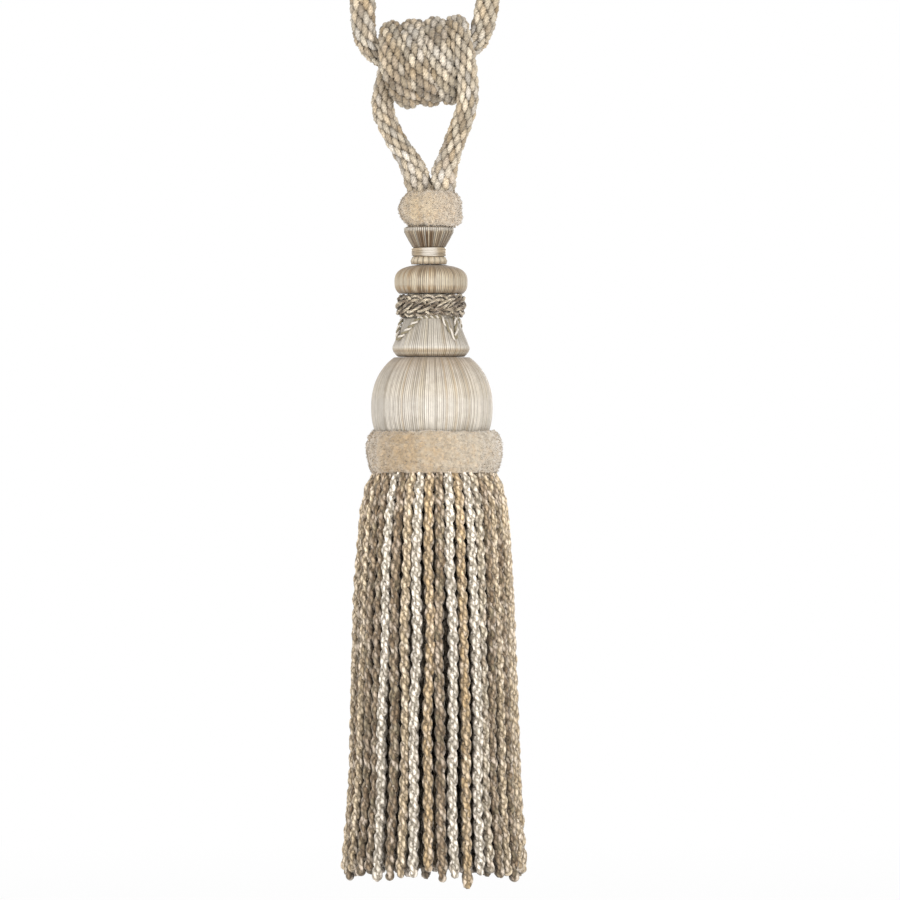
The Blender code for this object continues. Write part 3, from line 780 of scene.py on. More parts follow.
SKIRT_X = 1.2
SKIRT_SHAPE = (
    # z, radius to the middle of the outer cords
    (-258.0, 22.0),
    (-262.0, 23.2),
    (-266.0, 25.2),
    (-270.0, 27.4),
    (-282.0, 30.0),
    (-318.0, 32.4),
    (-396.0, 35.0),
    (-437.0, 38.1),
    (-444.0, 38.6),
)
SKIRT_ROWS = (
    # cords, share of the skirt's radius, plies in a strand, step along it, brightness: the inner
    # rows' low brightness is painted shade inside the skirt
    (42, 1.0, 3, 1.0, 1.2),
    (35, 0.85, 3, 2.2, 0.42),
    (24, 0.62, 3, 3.0, 0.3),
    (12, 0.33, 3, 3.0, 0.25),
)
SKIRT_TOP, SKIRT_END = -258.0, -437.0
PLY_POINTS = 2  # one on each ply's crest and one in the groove beside it
FOLD_TURNS = (90, 65, 40, 18, 0)  # degrees left of the fold at a cord's end
CORD_LAY, CORD_PLY_LAY = 15.0, 8.0
CORD_STRAND_OUT, CORD_STRAND_RADIUS, CORD_GROOVE = 0.9, 1.64, 0.2
CORD_SPREAD = (0.93, 1.07)  # of the lay and the thickness, as shares
THICK_LENGTH = 9
CORD_SWAY, SWAY_LENGTH, LEAN_LENGTH = 1.0, 38, 45
FREE_BELOW = (6, 60)  # how far down the cords begin to sway, and sway in full
WHITE_PROUD = 1.0  # how far the white cords stand out from the others
LONGEST_CORD, LONGEST_HANG = (0, 34), 2.8
END_SPREAD, INNER_LIFT = 3.0, 2.2
END_WAVES = (
    # step from cord to cord, slide from row to row
    (5.1, 2.3),
    (2.7, 0.0),
)
# Yarns of the front half's outer cords, from the left edge to the right edge.
FRONT_CORDS = (
    "beige beige taupe beige taupe taupe white taupe beige white gold "
    "taupe white gold white grey taupe beige taupe beige beige"
).split()
INNER_CORDS = ("taupe", "beige", "taupe", "gold")
BACK_STEP = 8  # places passed in the front's list from one cord of the back to the next
CORD_YARNS = {
    # a cord's own colour, what it fades to, and the other colour of some of its kernels
    "white": (WHITE, PEARL, GREY),
    "beige": (CREAM, BEIGE, STONE),
    "gold": (GOLD, BEIGE, STONE),
    "taupe": (UMBER, STONE, OLIVE),
    "grey": (GREY, IVORY, STONE),
}
CORD_FADE_LENGTH, CORD_FADE_RANGE, CORD_FADE_SHARE = 6, (0.3, 0.8), 0.7
FLECK_LENGTH = 2.4
HIGH_FLECKS, HIGH_SHARE = (0.45, 0.95), 0.75  # these take the other colour
LOW_FLECKS, LOW_SHARE = (0.0, 0.4), 0.6  # these take what the cord fades to
STRAND_RIDGES = (0.8, 1.06)  # painted shade between two plies, and the tone on a ply's crest
SPECK_TONES = (0.86, 1.12)
CORD_DEPTH = (0.4, 1.5)  # from the cord's middle, dark to lit
CORD_FACING = (-1.1, 0.8)  # towards the skirt's outside, dark to lit
CORD_EDGE, CORD_EDGE_DARK = (1.7, 2.5), 0.55  # painted shade where a cord meets those beside it
PALE_TOP, PALE_REACH = 0.3, (10, 90)  # how much paler the cords are under the ruff
CORD_SEEDS = {
    # what is drawn: first seed, step from row to row, step from cord to cord
    "strand": (0, 1000, 1),
    "fade": (3000, 60, 1),
    "thickness": (5000, 60, 1),
    "sway": (7000, 100, 1),
    "lean": (9000, 100, 1),
    "fleck": (20000, 600, 10),
}


def cord_seed(what, row, number):
    first, row_step, cord_step = CORD_SEEDS[what]
    return first + row_step * row + cord_step * number


def cord_kind(row, number):
    """Which yarns a cord of the skirt is made of. The back's order isn't the front's."""
    if row:
        return INNER_CORDS[(3 * number + row) % len(INNER_CORDS)]
    count = SKIRT_ROWS[0][0]
    place = round((number / count - 0.5) * count)
    if 0 <= place < len(FRONT_CORDS):
        return FRONT_CORDS[place]
    return FRONT_CORDS[(place * BACK_STEP) % len(FRONT_CORDS)]


def cord_end(row, number):
    uneven = np.mean([math.sin(step * number + slide * row) for step, slide in END_WAVES])
    longest = LONGEST_HANG if (row, number) == LONGEST_CORD else 0.0
    return SKIRT_END + END_SPREAD * uneven - longest + (INNER_LIFT if row else 0.0)


def cord_heights(row, number):
    """Heights down a cord and round half its fold, and how far the fold is turned there."""
    fold = cord_end(row, number) + CORD_STRAND_RADIUS + CORD_STRAND_OUT
    steps = round((SKIRT_TOP - fold) / SKIRT_ROWS[row][3])
    straight = np.linspace(SKIRT_TOP, fold, steps + 1)[:-1]
    bend = np.radians(FOLD_TURNS)
    heights = np.concatenate([straight, fold - CORD_STRAND_OUT * np.cos(bend)])
    return heights, np.concatenate([np.full(steps, math.pi / 2), bend])[:, None]


def cord_centre(row, number, heights, outward, sideways):
    """The line between a cord's two strands."""
    radii = table_values(SKIRT_SHAPE, heights)[:, 0] * SKIRT_ROWS[row][1]
    free = smooth_step(SKIRT_TOP - heights, *FREE_BELOW)
    sway = wander(-heights, SWAY_LENGTH, cord_seed("sway", row, number)) - 0.5
    lean = wander(-heights, LEAN_LENGTH, cord_seed("lean", row, number)) - 0.5
    proud = WHITE_PROUD * free if cord_kind(row, number) == "white" else 0.0
    out = radii + lean * CORD_SWAY * free + proud
    centre = outward * out[:, None] + sideways * (sway * 2 * CORD_SWAY * free)[:, None]
    centre[:, 0] += SKIRT_X
    centre[:, 2] = heights
    return centre


def strand_tones(row, number, run):
    """Rows x plies of a strand's colours: its own, faded in places and flecked."""
    main, second, third = (srgb(colour) for colour in CORD_YARNS[cord_kind(row, number)])
    fade = wander(run, CORD_FADE_LENGTH, cord_seed("fade", row, number))
    base = mix(main, second, CORD_FADE_SHARE * smooth_step(fade, *CORD_FADE_RANGE))
    tones = []
    for ply in range(SKIRT_ROWS[row][2]):
        fleck = wander(run, FLECK_LENGTH, cord_seed("fleck", row, number) + ply)
        tone = mix(base, third, HIGH_SHARE * smooth_step(fleck, *HIGH_FLECKS))
        tones.append(mix(tone, second, LOW_SHARE * (1 - smooth_step(fleck, *LOW_FLECKS))))
    return np.stack(tones, axis=1)


def cord_light(away, outward, sideways):
    """How far points are lit, by their way from the cord's middle seen from above."""
    depth = smooth_step(np.linalg.norm(away, axis=2), *CORD_DEPTH)
    facing = smooth_step(away @ outward[:2], *CORD_FACING)
    beside = smooth_step(np.abs(away @ sideways[:2]), *CORD_EDGE)
    return depth * facing * (1 - CORD_EDGE_DARK * beside)


def down_and_up(down, up):
    """Rows down one strand, then up the other from the row after the fold's."""
    return np.vstack([down, up[::-1][1:]])


def hanging_cord(row, number):
    """Grid of one cord: down one strand, round the fold and up the other."""
    count, _, plies, _, brightness = SKIRT_ROWS[row]
    sides = plies * PLY_POINTS
    draws = np.random.default_rng(cord_seed("strand", row, number))
    angle = TURN * (number + 0.5 * (row % 2)) / count
    outward = np.array([math.cos(angle), math.sin(angle), 0.0])
    sideways = np.array([-math.sin(angle), math.cos(angle), 0.0])
    heights, bend = cord_heights(row, number)
    centre = cord_centre(row, number, heights, outward, sideways)
    lay = CORD_LAY * from_to(CORD_SPREAD, draws.random())
    turn = TURN * (draws.random() + (SKIRT_TOP - heights) / lay)
    across = spun(turn, outward, sideways) * np.sin(bend)
    down = np.array([0.0, 0.0, -1.0]) * np.cos(bend)
    path = down_and_up(centre + across * CORD_STRAND_OUT, centre - across * CORD_STRAND_OUT)
    guides = down_and_up(down + across, down - across)
    run = run_length(path)
    uneven = wander(run, THICK_LENGTH, cord_seed("thickness", row, number))
    thick = CORD_STRAND_RADIUS * from_to(CORD_SPREAD, uneven)
    between = np.arange(sides) % PLY_POINTS == 0
    skin = tube(path, guides, thick, sides, CORD_GROOVE * between, TURN * run / CORD_PLY_LAY)
    tones = np.repeat(strand_tones(row, number, run), PLY_POINTS, axis=1)
    # Painted shade between the plies.
    tones = tones * np.where(between, *STRAND_RIDGES)[None, :, None]
    tones = tones * from_to(SPECK_TONES, draws.random((len(path), sides, 1)))
    away = (skin - down_and_up(centre, centre)[:, None, :])[..., :2]
    # Painted shade: darker inside each cord, on its inward side and where it meets its neighbours.
    tint = mix(srgb(PAINTED_SHADE_DARK), tones, cord_light(away, outward, sideways)) * brightness
    pale = 1 + PALE_TOP * (1 - smooth_step(SKIRT_TOP - path[:, 2], *PALE_REACH))
    return Grid(skin, tint * pale[:, None, None], run, around=plies)


def make_skirt():
    material = yarn_material("skirt")
    rows = [
        [hanging_cord(row, number) for number in range(count)]
        for row, (count, *_) in enumerate(SKIRT_ROWS)
    ]
    half = len(rows[0]) // 2
    parts = {"back": rows[0][:half], "front": rows[0][half:], "inner": sum(rows[1:], [])}
    for name, cords in parts.items():
        add_piece("skirt_cords_" + name, cords, material, ["skirt"])


# Turned moulds, covered with fine threads laid up and down

NECK_X, CONE_X = -1.1, -0.2
MOULDS = {
    # name: x, threads, depth between threads, bundles of threads, seed
    "neck": (NECK_X, 72, 0.2, 60, 15),
    "cone": (CONE_X, 112, 0.16, 90, 12),
    "bun": (-0.2, 116, 0.2, 70, 13),
    "ball": (0.2, 184, 0.16, 100, 14),
}
PROFILE_STEP = 0.7
PROFILES = {
    # z, radius
    "neck": (
        (-158.8, 9.6),
        (-159.5, 10.8),
        (-161.2, 10.7),
        (-164.6, 8.9),
        (-167.5, 7.2),
        (-167.7, 6.7),
        (-171.7, 6.7),
        (-171.9, 7.2),
        (-173.5, 8.0),
        (-175.0, 7.6),
    ),
    "cone": (
        (-187.9, 10.4),
        (-198.0, 10.6),
        (-198.4, 11.5),
        (-203.5, 13.7),
        (-207.0, 15.2),
        (-210.2, 16.6),
        (-211.3, 16.7),
        (-212.6, 16.2),
        (-213.8, 15.3),
        (-214.7, 14.3),
    ),
}
ROUND_FORMS = {
    # name: top, middle, bottom, half height, radius, fullness, rows in each half
    "bun": (-175.3, -182.6, -187.6, 7.5, 15.8, 2.8, 14),
    "ball": (-215.0, -236.5, -252.1, 26.2, 26.2, 2.2, 22),
}
# Thread colours and their shares.
PALE = ((PEARL, 0.42), (IVORY, 0.1), (WHITE, 0.26), (GREY, 0.16), (BEIGE, 0.06))
WARM = ((CREAM, 0.34), (BEIGE, 0.24), (IVORY, 0.26), (TAN, 0.1), (TAUPE, 0.06))
DUSKY = ((GREY, 0.25), (TAUPE, 0.25), (CREAM, 0.25), (STONE, 0.15), (BROWN, 0.1))
THREAD_LOOKS = {
    # name: palette, share of its contrast, tone in the grooves and how much darker each gap is,
    # both painted shade
    "neck": (DUSKY, 1.15, 0.24, 0.16),
    "cone": (PALE, 0.8, 0.6, 0.25),
    "bun": (WARM, 1.0, 0.46, 0.2),
    "ball": (PALE, 0.75, 0.62, 0.2),
}
COLOUR_AND_LIGHT_BANDS = {
    # name: z, colour that the threads lean to there, how far. The white and pearl bands and the
    # bun's ivory ones are painted highlights, the brown ones painted shade; the rest is the
    # threads' own colour.
    "neck": (
        (-158.8, BROWN, 0.5),
        (-159.5, WHITE, 0.8),
        (-160.3, WHITE, 0.7),
        (-161.1, BEIGE, 0.2),
        (-162.6, BROWN, 0.2),
        (-167.5, BROWN, 0.45),
        (-171.8, BEIGE, 0.5),
        (-172.8, IVORY, 0.9),
        (-174.2, CREAM, 0.85),
        (-175.0, BROWN, 0.7),
    ),
    "cone": (
        (-198.0, GREY, 0.4),
        (-203.0, GREY, 0.4),
        (-207.0, GREY, 0.4),
        (-209.6, PEARL, 0.5),
        (-210.8, WHITE, 0.9),
        (-211.6, CREAM, 0.6),
        (-212.3, TAN, 0.8),
        (-213.2, CREAM, 0.6),
        (-214.0, TAN, 0.7),
        (-214.7, BROWN, 0.8),
    ),
    "bun": (
        (-175.3, BROWN, 0.8),
        (-177.6, TAN, 0.55),
        (-180.0, CREAM, 0.3),
        (-181.8, IVORY, 0.6),
        (-183.8, IVORY, 0.6),
        (-185.4, TAN, 0.3),
        (-186.4, BROWN, 0.5),
        (-187.6, BROWN, 0.8),
    ),
    "ball": (
        (-215.0, BROWN, 0.6),
        (-217.5, TAN, 0.45),
        (-222.0, STONE, 0.3),
        (-228.0, CREAM, 0.25),
        (-234.0, PEARL, 0.5),
        (-240.0, PEARL, 0.45),
        (-246.0, GREY, 0.25),
        (-252.1, STONE, 0.5),
    ),
}
THREAD_TONES = (0.90, 0.10, 0.08)  # least, more by thread, more by bundle
# How deep a bundle's first thread and a high-toned bundle lie, as shares of the depth between
# threads, and from what tone a bundle counts as such.
BUNDLE_SINK = (0.5, 0.3, 0.7)
THREAD_LEAN = 0.012  # radians to either side
LEAN_WAVE, LEANS_ROUND = 5, 3  # length in which its wave turns one radian, waves round
MOTTLE_TONES = (0.95, 1.05)
BEAD_TOP, BEAD_RIBS, BEAD_RIB_DEPTH = -171.8, 18, 0.3
BEAD_TONES = (0.34, 1.04)  # painted shade between its ribs, and the tone on them
BALL_PAINTED_LIGHT, BALL_PAINTED_LIGHT_RANGE = 0.24, (0.2, 0.8)  # painted light on the right: how much paler, and from what share of +X


def round_profile(top, middle, bottom, half_height, radius, fullness, rows):
    """Height and radius rows of a round form fuller than an ellipse."""
    spread = np.sin(np.linspace(0, math.pi / 2, rows))
    upper, lower = middle + (top - middle) * spread[::-1], middle + (bottom - middle) * spread[1:]
    heights = np.concatenate([upper, lower])
    share = np.abs(heights - middle) / half_height
    radii = radius * (1 - np.clip(share, 0, 1) ** fullness) ** (1 / fullness)
    return np.column_stack([heights, radii])


def fine_profile(rows, step):
    """A profile with rows no further apart than step."""
    rows = np.array(rows, float)
    run = run_length(rows)
    return rows_at(rows, run, np.unique(np.concatenate([run, np.arange(0, run[-1], step)])))


def banded_colour_and_light(name, z, tone):
    """Rows x threads of tones, each thread's own tone leaning to its band's colour, painted
    highlight and shade in places.
    """
    table = [(height, *srgb(colour), share) for height, colour, share in COLOUR_AND_LIGHT_BANDS[name]]
    bands = table_values(table, z)
    return mix(tone[None, :, :], bands[:, None, :3], bands[:, 3:])


def thread_colours(palette, contrast, threads, draws):
    """Each thread's colour, drawn from a palette with its contrast scaled."""
    colours, shares = zip(*palette)
    choice = draws.choice(len(colours), threads, p=shares)
    colours = np.array([srgb(colour) for colour in colours])
    average = np.average(colours, axis=0, weights=shares)
    return average + (colours[choice] - average) * contrast


def thread_mould(name, profile):
    """A turned form whose covering threads are ribs, gathered into bundles."""
    x, threads, groove, bundles, seed = MOULDS[name]
    palette, contrast, groove_tone, gap = THREAD_LOOKS[name]
    draws = np.random.default_rng(seed)
    thread_tone = draws.random(threads)
    bundle_of = np.sort(draws.integers(0, bundles, threads))
    bundle_tone = draws.random(bundles)[bundle_of]
    tone = thread_colours(palette, contrast, threads, draws)
    least, by_thread, by_bundle = THREAD_TONES
    tone = tone * (least + by_thread * thread_tone + by_bundle * bundle_tone)[:, None]
    first_sink, bundle_sink, high = BUNDLE_SINK
    first = np.diff(np.concatenate([[-1], bundle_of])) > 0
    sink = np.repeat(first * first_sink + bundle_sink * (bundle_tone > high), 2) * groove
    angle = ring_angles(2 * threads)
    in_groove = np.arange(2 * threads) % 2
    z = profile[:, 0]
    reach = profile[:, 1][:, None] - (groove * in_groove + sink)[None, :]
    # Painted shade in the grooves between threads.
    dark = np.where(in_groove, groove_tone - gap * np.repeat(first, 2), 1.0)[None, :]
    if name == "neck":
        on_bead = (z < BEAD_TOP)[:, None]
        rib = np.sqrt(np.abs(np.cos(BEAD_RIBS * angle / 2)))[None, :]
        reach = reach - on_bead * BEAD_RIB_DEPTH * (1 - rib)
        # Painted shade between the bead's ribs.
        dark = np.where(on_bead, from_to(BEAD_TONES, rib), dark)
    if name == "ball":
        # Painted light: the ball's right side paler.
        right = smooth_step(np.cos(angle), *BALL_PAINTED_LIGHT_RANGE)
        dark = dark * (1 + BALL_PAINTED_LIGHT * right)[None, :]
    wave = np.sin(run_length(profile) / LEAN_WAVE)[:, None]
    turned = angle + THREAD_LEAN * wave * np.sin(LEANS_ROUND * angle + seed)
    heights = np.broadcast_to(z[:, None], reach.shape)
    points = np.stack([x + reach * np.cos(turned), reach * np.sin(turned), heights], axis=-1)
    # Bands of painted highlight and painted shade over the threads' own colours.
    tint = banded_colour_and_light(name, z, np.repeat(tone, 2, axis=0)) * dark[..., None]
    mottle = from_to(MOTTLE_TONES, draws.random(reach.shape))
    return Grid(points, tint * mottle[..., None], run_length(profile), around=threads)


def make_moulds():
    material = yarn_material("covering")
    for name in MOULDS:
        if name in PROFILES:
            profile = fine_profile(PROFILES[name], PROFILE_STEP)
        else:
            profile = round_profile(*ROUND_FORMS[name])
        grid = thread_mould(name, profile)
        add_piece(name + "_threads", [grid], material, [name])


# Binding, gimp and zigzag

RING_SIDES = 8  # of every thread and ply here
BINDING_TOP, BINDING_BOTTOM, BINDING_RADIUS = -168.0, -171.4, 7.15
BINDING_THREADS, BINDING_SEGMENTS, BINDING_SEED = 5, 96, 40
BINDING_FULL = 0.62  # a thread's radius as a share of the step from thread to thread
BINDING_UNEVEN = 0.12
BINDING_TONES = (0.68, 1.0)  # from thread to thread
BINDING_SATIN, BINDING_SATIN_REACH = math.radians(272), 0.5  # where its smooth end lies
SATIN_TONE = 0.88
THREAD_UNDERSIDE, UNDERSIDE_TONES = (1, 2, 3), (0.4, 0.95)  # sides facing down, in painted shade: plain tone, satin tone
GIMP_X, GIMP_Z, GIMP_RADIUS = -0.3, -192.8, 12.9
GIMP_STRANDS, GIMP_TURNS = 4, 4
GIMP_OUT, GIMP_UP = 0.85, 3.4
GIMP_STRAY, GIMP_STRAYS_UP, GIMP_STRAYS_OUT = 0.22, (7, 2), (9, 3)  # waves round, slide
GIMP_PLIES, GIMP_PLY_OUT, GIMP_PLY_RADIUS, GIMP_PLY_TURNS = 3, 0.95, 0.72, 10
GIMP_SEGMENTS, GIMP_GROOVE, GIMP_SECTION_TWIST = 252, 0.14, 30
GIMP_SHINE_LENGTH, GIMP_SHINE_RANGE, GIMP_SHINE_SEED = 5, (0.2, 0.9), 60
GIMP_HIGHLIGHT = 1.6  # painted highlight: tone of its shining stretches
GIMP_RIDGES = (0.42, 1.32)  # painted shade in a ply's grooves and painted highlight on its ridges
GIMP_DEPTH = (0.75, 1.5)  # from a strand's middle, dark to lit
ZIGZAG_HIGH, ZIGZAG_LOW = -197.6, -207.4
ZIGZAG_LIFT, ZIGZAG_OUT, ZIGZAG_RADIUS, ZIGZAG_LAY = 0.8, 0.45, 0.5, 4.3
ZIGZAG_SEGMENTS, ZIGZAG_GROOVE = 480, 0.05
ZIGZAG_CORNERS = (
    # degrees to the right of the front: a high run's start and end, then the low corner
    (-22, 23, 41),
    (60, 100, 131),
    (155, 190, 218),
    (240, 262, 298),
)


def ring_points(x, radius, z, angle):
    return np.column_stack([x + radius * np.cos(angle), radius * np.sin(angle), z + 0 * angle])


def make_binding():
    angle = ring_angles(BINDING_SEGMENTS)
    step = (BINDING_TOP - BINDING_BOTTOM) / BINDING_THREADS
    satin = np.exp(-(((angle - BINDING_SATIN) / BINDING_SATIN_REACH) ** 4))
    # Painted shade on each thread's underside.
    under = np.isin(np.arange(RING_SIDES), THREAD_UNDERSIDE)[None, :]
    ridge = np.where(under, from_to(UNDERSIDE_TONES, satin)[:, None], 1.0)
    grids = []
    for thread in range(BINDING_THREADS):
        draws = np.random.default_rng(BINDING_SEED + thread)
        path = ring_points(NECK_X, BINDING_RADIUS, BINDING_TOP - step * (thread + 0.5), angle)
        path[:, 2] += BINDING_UNEVEN * np.sin(2 * angle + 5 * draws.random())
        radius = BINDING_FULL * step
        skin = closed_tube(path, outward_at(angle), radius, RING_SIDES, 0.0, 0 * angle)
        plain = srgb(BEIGE) * from_to(BINDING_TONES, draws.random())
        tone = mix(plain, srgb(PEARL) * SATIN_TONE, satin)[:, None, :]
        grids.append(Grid(skin, tone * ridge[..., None], run_length(path), loop=True))
    add_piece("binding_threads", grids, yarn_material("binding"), ["neck_binding"])


def gimp_middle(strand, angle):
    """A strand's middle line round the ring, and the way from the ring's own line to it."""
    outward, upward = outward_at(angle), np.array([0.0, 0.0, 1.0])
    around = TURN * strand / GIMP_STRANDS + GIMP_TURNS * angle
    (ups, up_slide), (outs, out_slide) = GIMP_STRAYS_UP, GIMP_STRAYS_OUT
    out = GIMP_OUT * np.cos(around) + GIMP_STRAY * np.sin(outs * angle + out_slide * strand)
    up = GIMP_UP * np.sin(around) + GIMP_STRAY * np.sin(ups * angle + up_slide * strand)
    middle = ring_points(GIMP_X, GIMP_RADIUS, GIMP_Z, angle)
    middle += outward * out[:, None] + upward * up[:, None]
    return middle, spun(around, outward, upward)


def make_gimp():
    angle = ring_angles(GIMP_SEGMENTS)
    between = np.arange(RING_SIDES) % 2 == 0
    ridge = np.where(between, *GIMP_RIDGES)[None, :, None]
    grids = []
    for strand in range(GIMP_STRANDS):
        middle, out = gimp_middle(strand, angle)
        first, second = closed_frames(middle, out)
        for ply in range(GIMP_PLIES):
            lean = spun(TURN * ply / GIMP_PLIES + GIMP_PLY_TURNS * angle, first, second)
            path = middle + GIMP_PLY_OUT * lean
            groove, twist = GIMP_GROOVE * between, GIMP_SECTION_TWIST * angle
            skin = closed_tube(path, lean, GIMP_PLY_RADIUS, RING_SIDES, groove, twist)
            seed = GIMP_SHINE_SEED + 7 * strand + ply
            shine = wander(np.arange(GIMP_SEGMENTS), GIMP_SHINE_LENGTH, seed)
            shine = smooth_step(shine, *GIMP_SHINE_RANGE)
            # Painted highlights on stretches and ridges, painted shade in the grooves.
            tone = mix(srgb(TAUPE), srgb(IVORY) * GIMP_HIGHLIGHT, shine)[:, None, :] * ridge
            depth = np.linalg.norm(skin - middle[:, None, :], axis=2)
            # Painted shade towards each strand's middle.
            tint = mix(srgb(PAINTED_SHADE_DARK), tone, smooth_step(depth, *GIMP_DEPTH))
            grids.append(Grid(skin, tint, run_length(path), loop=True, around=RING_SIDES // 2))
    add_piece("gimp_cords", grids, yarn_material("gimp"), ["gimp_ring"])


def zigzag_centre():
    """The zigzag cord's middle line over the cone, and the way outward along it."""
    corners = []
    for start, end, low in ZIGZAG_CORNERS:
        corners += [(start, ZIGZAG_HIGH), (end, ZIGZAG_HIGH), (low, ZIGZAG_LOW)]
    corners.append((ZIGZAG_CORNERS[0][0] + 360, ZIGZAG_HIGH))
    corner_angles, corner_z = np.array(corners, float).T
    degrees = np.linspace(*corner_angles[[0, -1]], ZIGZAG_SEGMENTS, endpoint=False)
    z = np.interp(degrees, corner_angles, corner_z)
    angle = np.radians(degrees - 90)
    radius = table_values(PROFILES["cone"], z)[:, 0] + ZIGZAG_LIFT
    return ring_points(CONE_X, radius, z, angle), outward_at(angle)


def make_zigzag():
    centre, outward = zigzag_centre()
    run = run_length(centre)
    turns = round(run[-1] / ZIGZAG_LAY)
    first, second = closed_frames(centre, outward)
    shares = np.arange(len(centre)) / len(centre)
    grids = []
    for ply, colour in enumerate((PEARL, OLIVE)):
        lean = spun(TURN * (ply / 2 + turns * shares), first, second)
        path = centre + ZIGZAG_OUT * lean
        skin = closed_tube(path, lean, ZIGZAG_RADIUS, RING_SIDES, ZIGZAG_GROOVE, 0 * run)
        grids.append(Grid(skin, srgb(colour)[None, None, :], run, loop=True))
    add_piece("zigzag_yarns", grids, yarn_material("zigzag"), ["zigzag_cord"])


# Cut-pile ruffs

LEGS_X, LEGS_HALF_SPACING, RUFF_HOLE = -0.3, 4.9, 5.1
TOP_RUFF_TOP, TOP_RUFF_BOTTOM, TOP_RUFF_RADIUS = -143.8, -158.5, 12.6
TOP_RUFF_DRAW, TOP_RUFF_FULLNESS = 0.3, 3.2  # how far its rims draw in, and how sharply
TOP_RUFF_DIP, HOLE_FLARE = 1.2, 0.5
TOP_RUFF_COLUMNS, TOP_RUFF_LUMPS = 210, (0.5, 7, 11)  # lumps: size and waves round
OUTER_ROWS, BOTTOM_ROWS, HOLE_ROWS, TOP_ROWS = 40, 8, 10, 14
TOP_RUFF_LOBES = (
    # degrees round from +X, height as a share of half the ruff, size
    (-8, -0.85, 1.9),
    (5, 0.55, 0.6),
    (178, -0.1, 0.9),
    (190, -0.9, -0.9),
    (-60, 0.9, 0.7),
)
LOBE_WIDE, LOBE_HIGH = 0.45, 0.4  # radians, share of half the ruff
LOWER_RUFF = (
    # z, radius: once round the ring's section
    (-248.2, 25.4),
    (-246.6, 26.0),
    (-248.6, 27.6),
    (-252.6, 28.7),
    (-258.0, 28.8),
    (-262.0, 27.9),
    (-264.5, 26.4),
    (-264.3, 25.4),
    (-256.0, 25.2),
)
LOWER_RUFF_COLUMNS, LOWER_RUFF_ROWS, LOWER_RUFF_LUMPS = 360, 84, (0.3, 14, 22)
LOWER_RUFF_OUTSIDE = 26  # the lumps lie beyond this radius
TOP_TUFTS, LOWER_TUFTS = 8000, 13000
TOP_SEED, LOWER_SEED = 70, 80

# Pile colours at the left side and the right side, the right lighter as painted light from the
# right; the greyer patches and the warmer ones.
TOP_PILE = ((201, 185, 160), (207, 195, 180))
LOWER_PILE = ((172, 152, 124), (194, 184, 170))
PILE_GREY, PILE_GREY_SHARE, PILE_GREY_RANGE = (200, 191, 179), 0.5, (0.0, 0.8)
PILE_WARM, PILE_WARM_SHARE, PILE_WARM_RANGE = (200, 172, 136), 0.4, (0.45, 0.7)
# Painted sheen: the pale grey at the ruffs' left and right edges, its share and range.
PILE_PAINTED_SHEEN, PILE_PAINTED_SHEEN_SHARE, PILE_PAINTED_SHEEN_RANGE = (216, 208, 198), 0.55, (0.6, 1.0)
PILE_TONES = (0.92, 1.08)
PILE_SIDE, PILE_SIDE_STRAY = 0.6, 0.3  # shares of the ruff's reach: where the painted light turns from left to right, and how far that strays
LUMP_RELIEF, COARSE_RELIEF, FINE_RELIEF = 0.55, 0.35, 0.22
LUMP_SMOOTH, COARSE_SMOOTH, FINE_SMOOTH = 40, 6, 1
PILE_ROW = 0.5  # step along the ring in texture coordinates
TUFT_ROOT, TUFT_LEAN, TUFT_TAPER = 0.2, 0.55, 0.35
TUFT_LENGTH, TUFT_LENGTH_POWER, TUFT_WIDTH = (0.4, 1.05), 1.5, (0.16, 0.26)
TUFT_CORNERS = ((1.0, 0.0), (-0.5, 0.87), (-0.5, -0.87))  # of its three-sided section
TUFT_SHADE_AND_LIGHT = (0.98, 1.16)  # painted shade at the root and painted light at the tip
FINE_SCALE, BROAD_SCALE, PATCH_SCALE = 2600, 520, 700  # of the material's noises
FINE_TONES, PATCH_TONES = (0.82, 1.14), (0.86, 1.08)
PILE_BUMP, PILE_RELIEF = 0.7, 0.2
PILE_ROUGHNESS = (0.98, 0.85)
PILE_SHEEN, PILE_SHEEN_ROUGHNESS, PILE_SPECULAR = 0.5, 0.6, 0.15


def pile_material():
    nodes = Nodes("pile")
    fine = nodes.noise(FINE_SCALE, 3.0)
    warm = nodes.remap(nodes.noise(BROAD_SCALE), *PILE_WARM_RANGE, 0.0, PILE_WARM_SHARE)
    tone = nodes.remap(fine, *NOISE_RANGE, *FINE_TONES)
    tone = nodes.toned(tone, nodes.noise(PATCH_SCALE, 1.0), NOISE_RANGE, PATCH_TONES)
    nodes.finish(
        Base_Color=nodes.shade(nodes.lean(nodes.tint(), PILE_WARM, warm), tone, (1.0, 1.0, 1.0)),
        Roughness=nodes.remap(fine, *NOISE_RANGE, *PILE_ROUGHNESS),
        Normal=nodes.bump(fine, PILE_BUMP, PILE_RELIEF),
        Sheen_Weight=PILE_SHEEN,
        Sheen_Roughness=PILE_SHEEN_ROUGHNESS,
        Specular_IOR_Level=PILE_SPECULAR,
    )
    return nodes.material


def hole_radius(angle):
    """Centre to edge of a long hole with round ends, which passes both legs."""
    sideways, forward = abs(math.cos(angle)), abs(math.sin(angle))
    if RUFF_HOLE * sideways <= LEGS_HALF_SPACING * forward:
        return RUFF_HOLE / forward
    round_end = math.sqrt(RUFF_HOLE**2 - (LEGS_HALF_SPACING * forward) ** 2)
    return LEGS_HALF_SPACING * sideways + round_end


def grain(shape, seed, smooth):
    """Random heights from -1 to 1 on a grid that wraps both ways, smoothed by averaging."""
    values = np.random.default_rng(seed).random(shape) * 2 - 1
    for _ in range(smooth):
        around = [np.roll(values, step, axis) for axis in (0, 1) for step in (1, -1)]
        values = (values * 2 + sum(around)) / 6
    return values / np.abs(values).max()


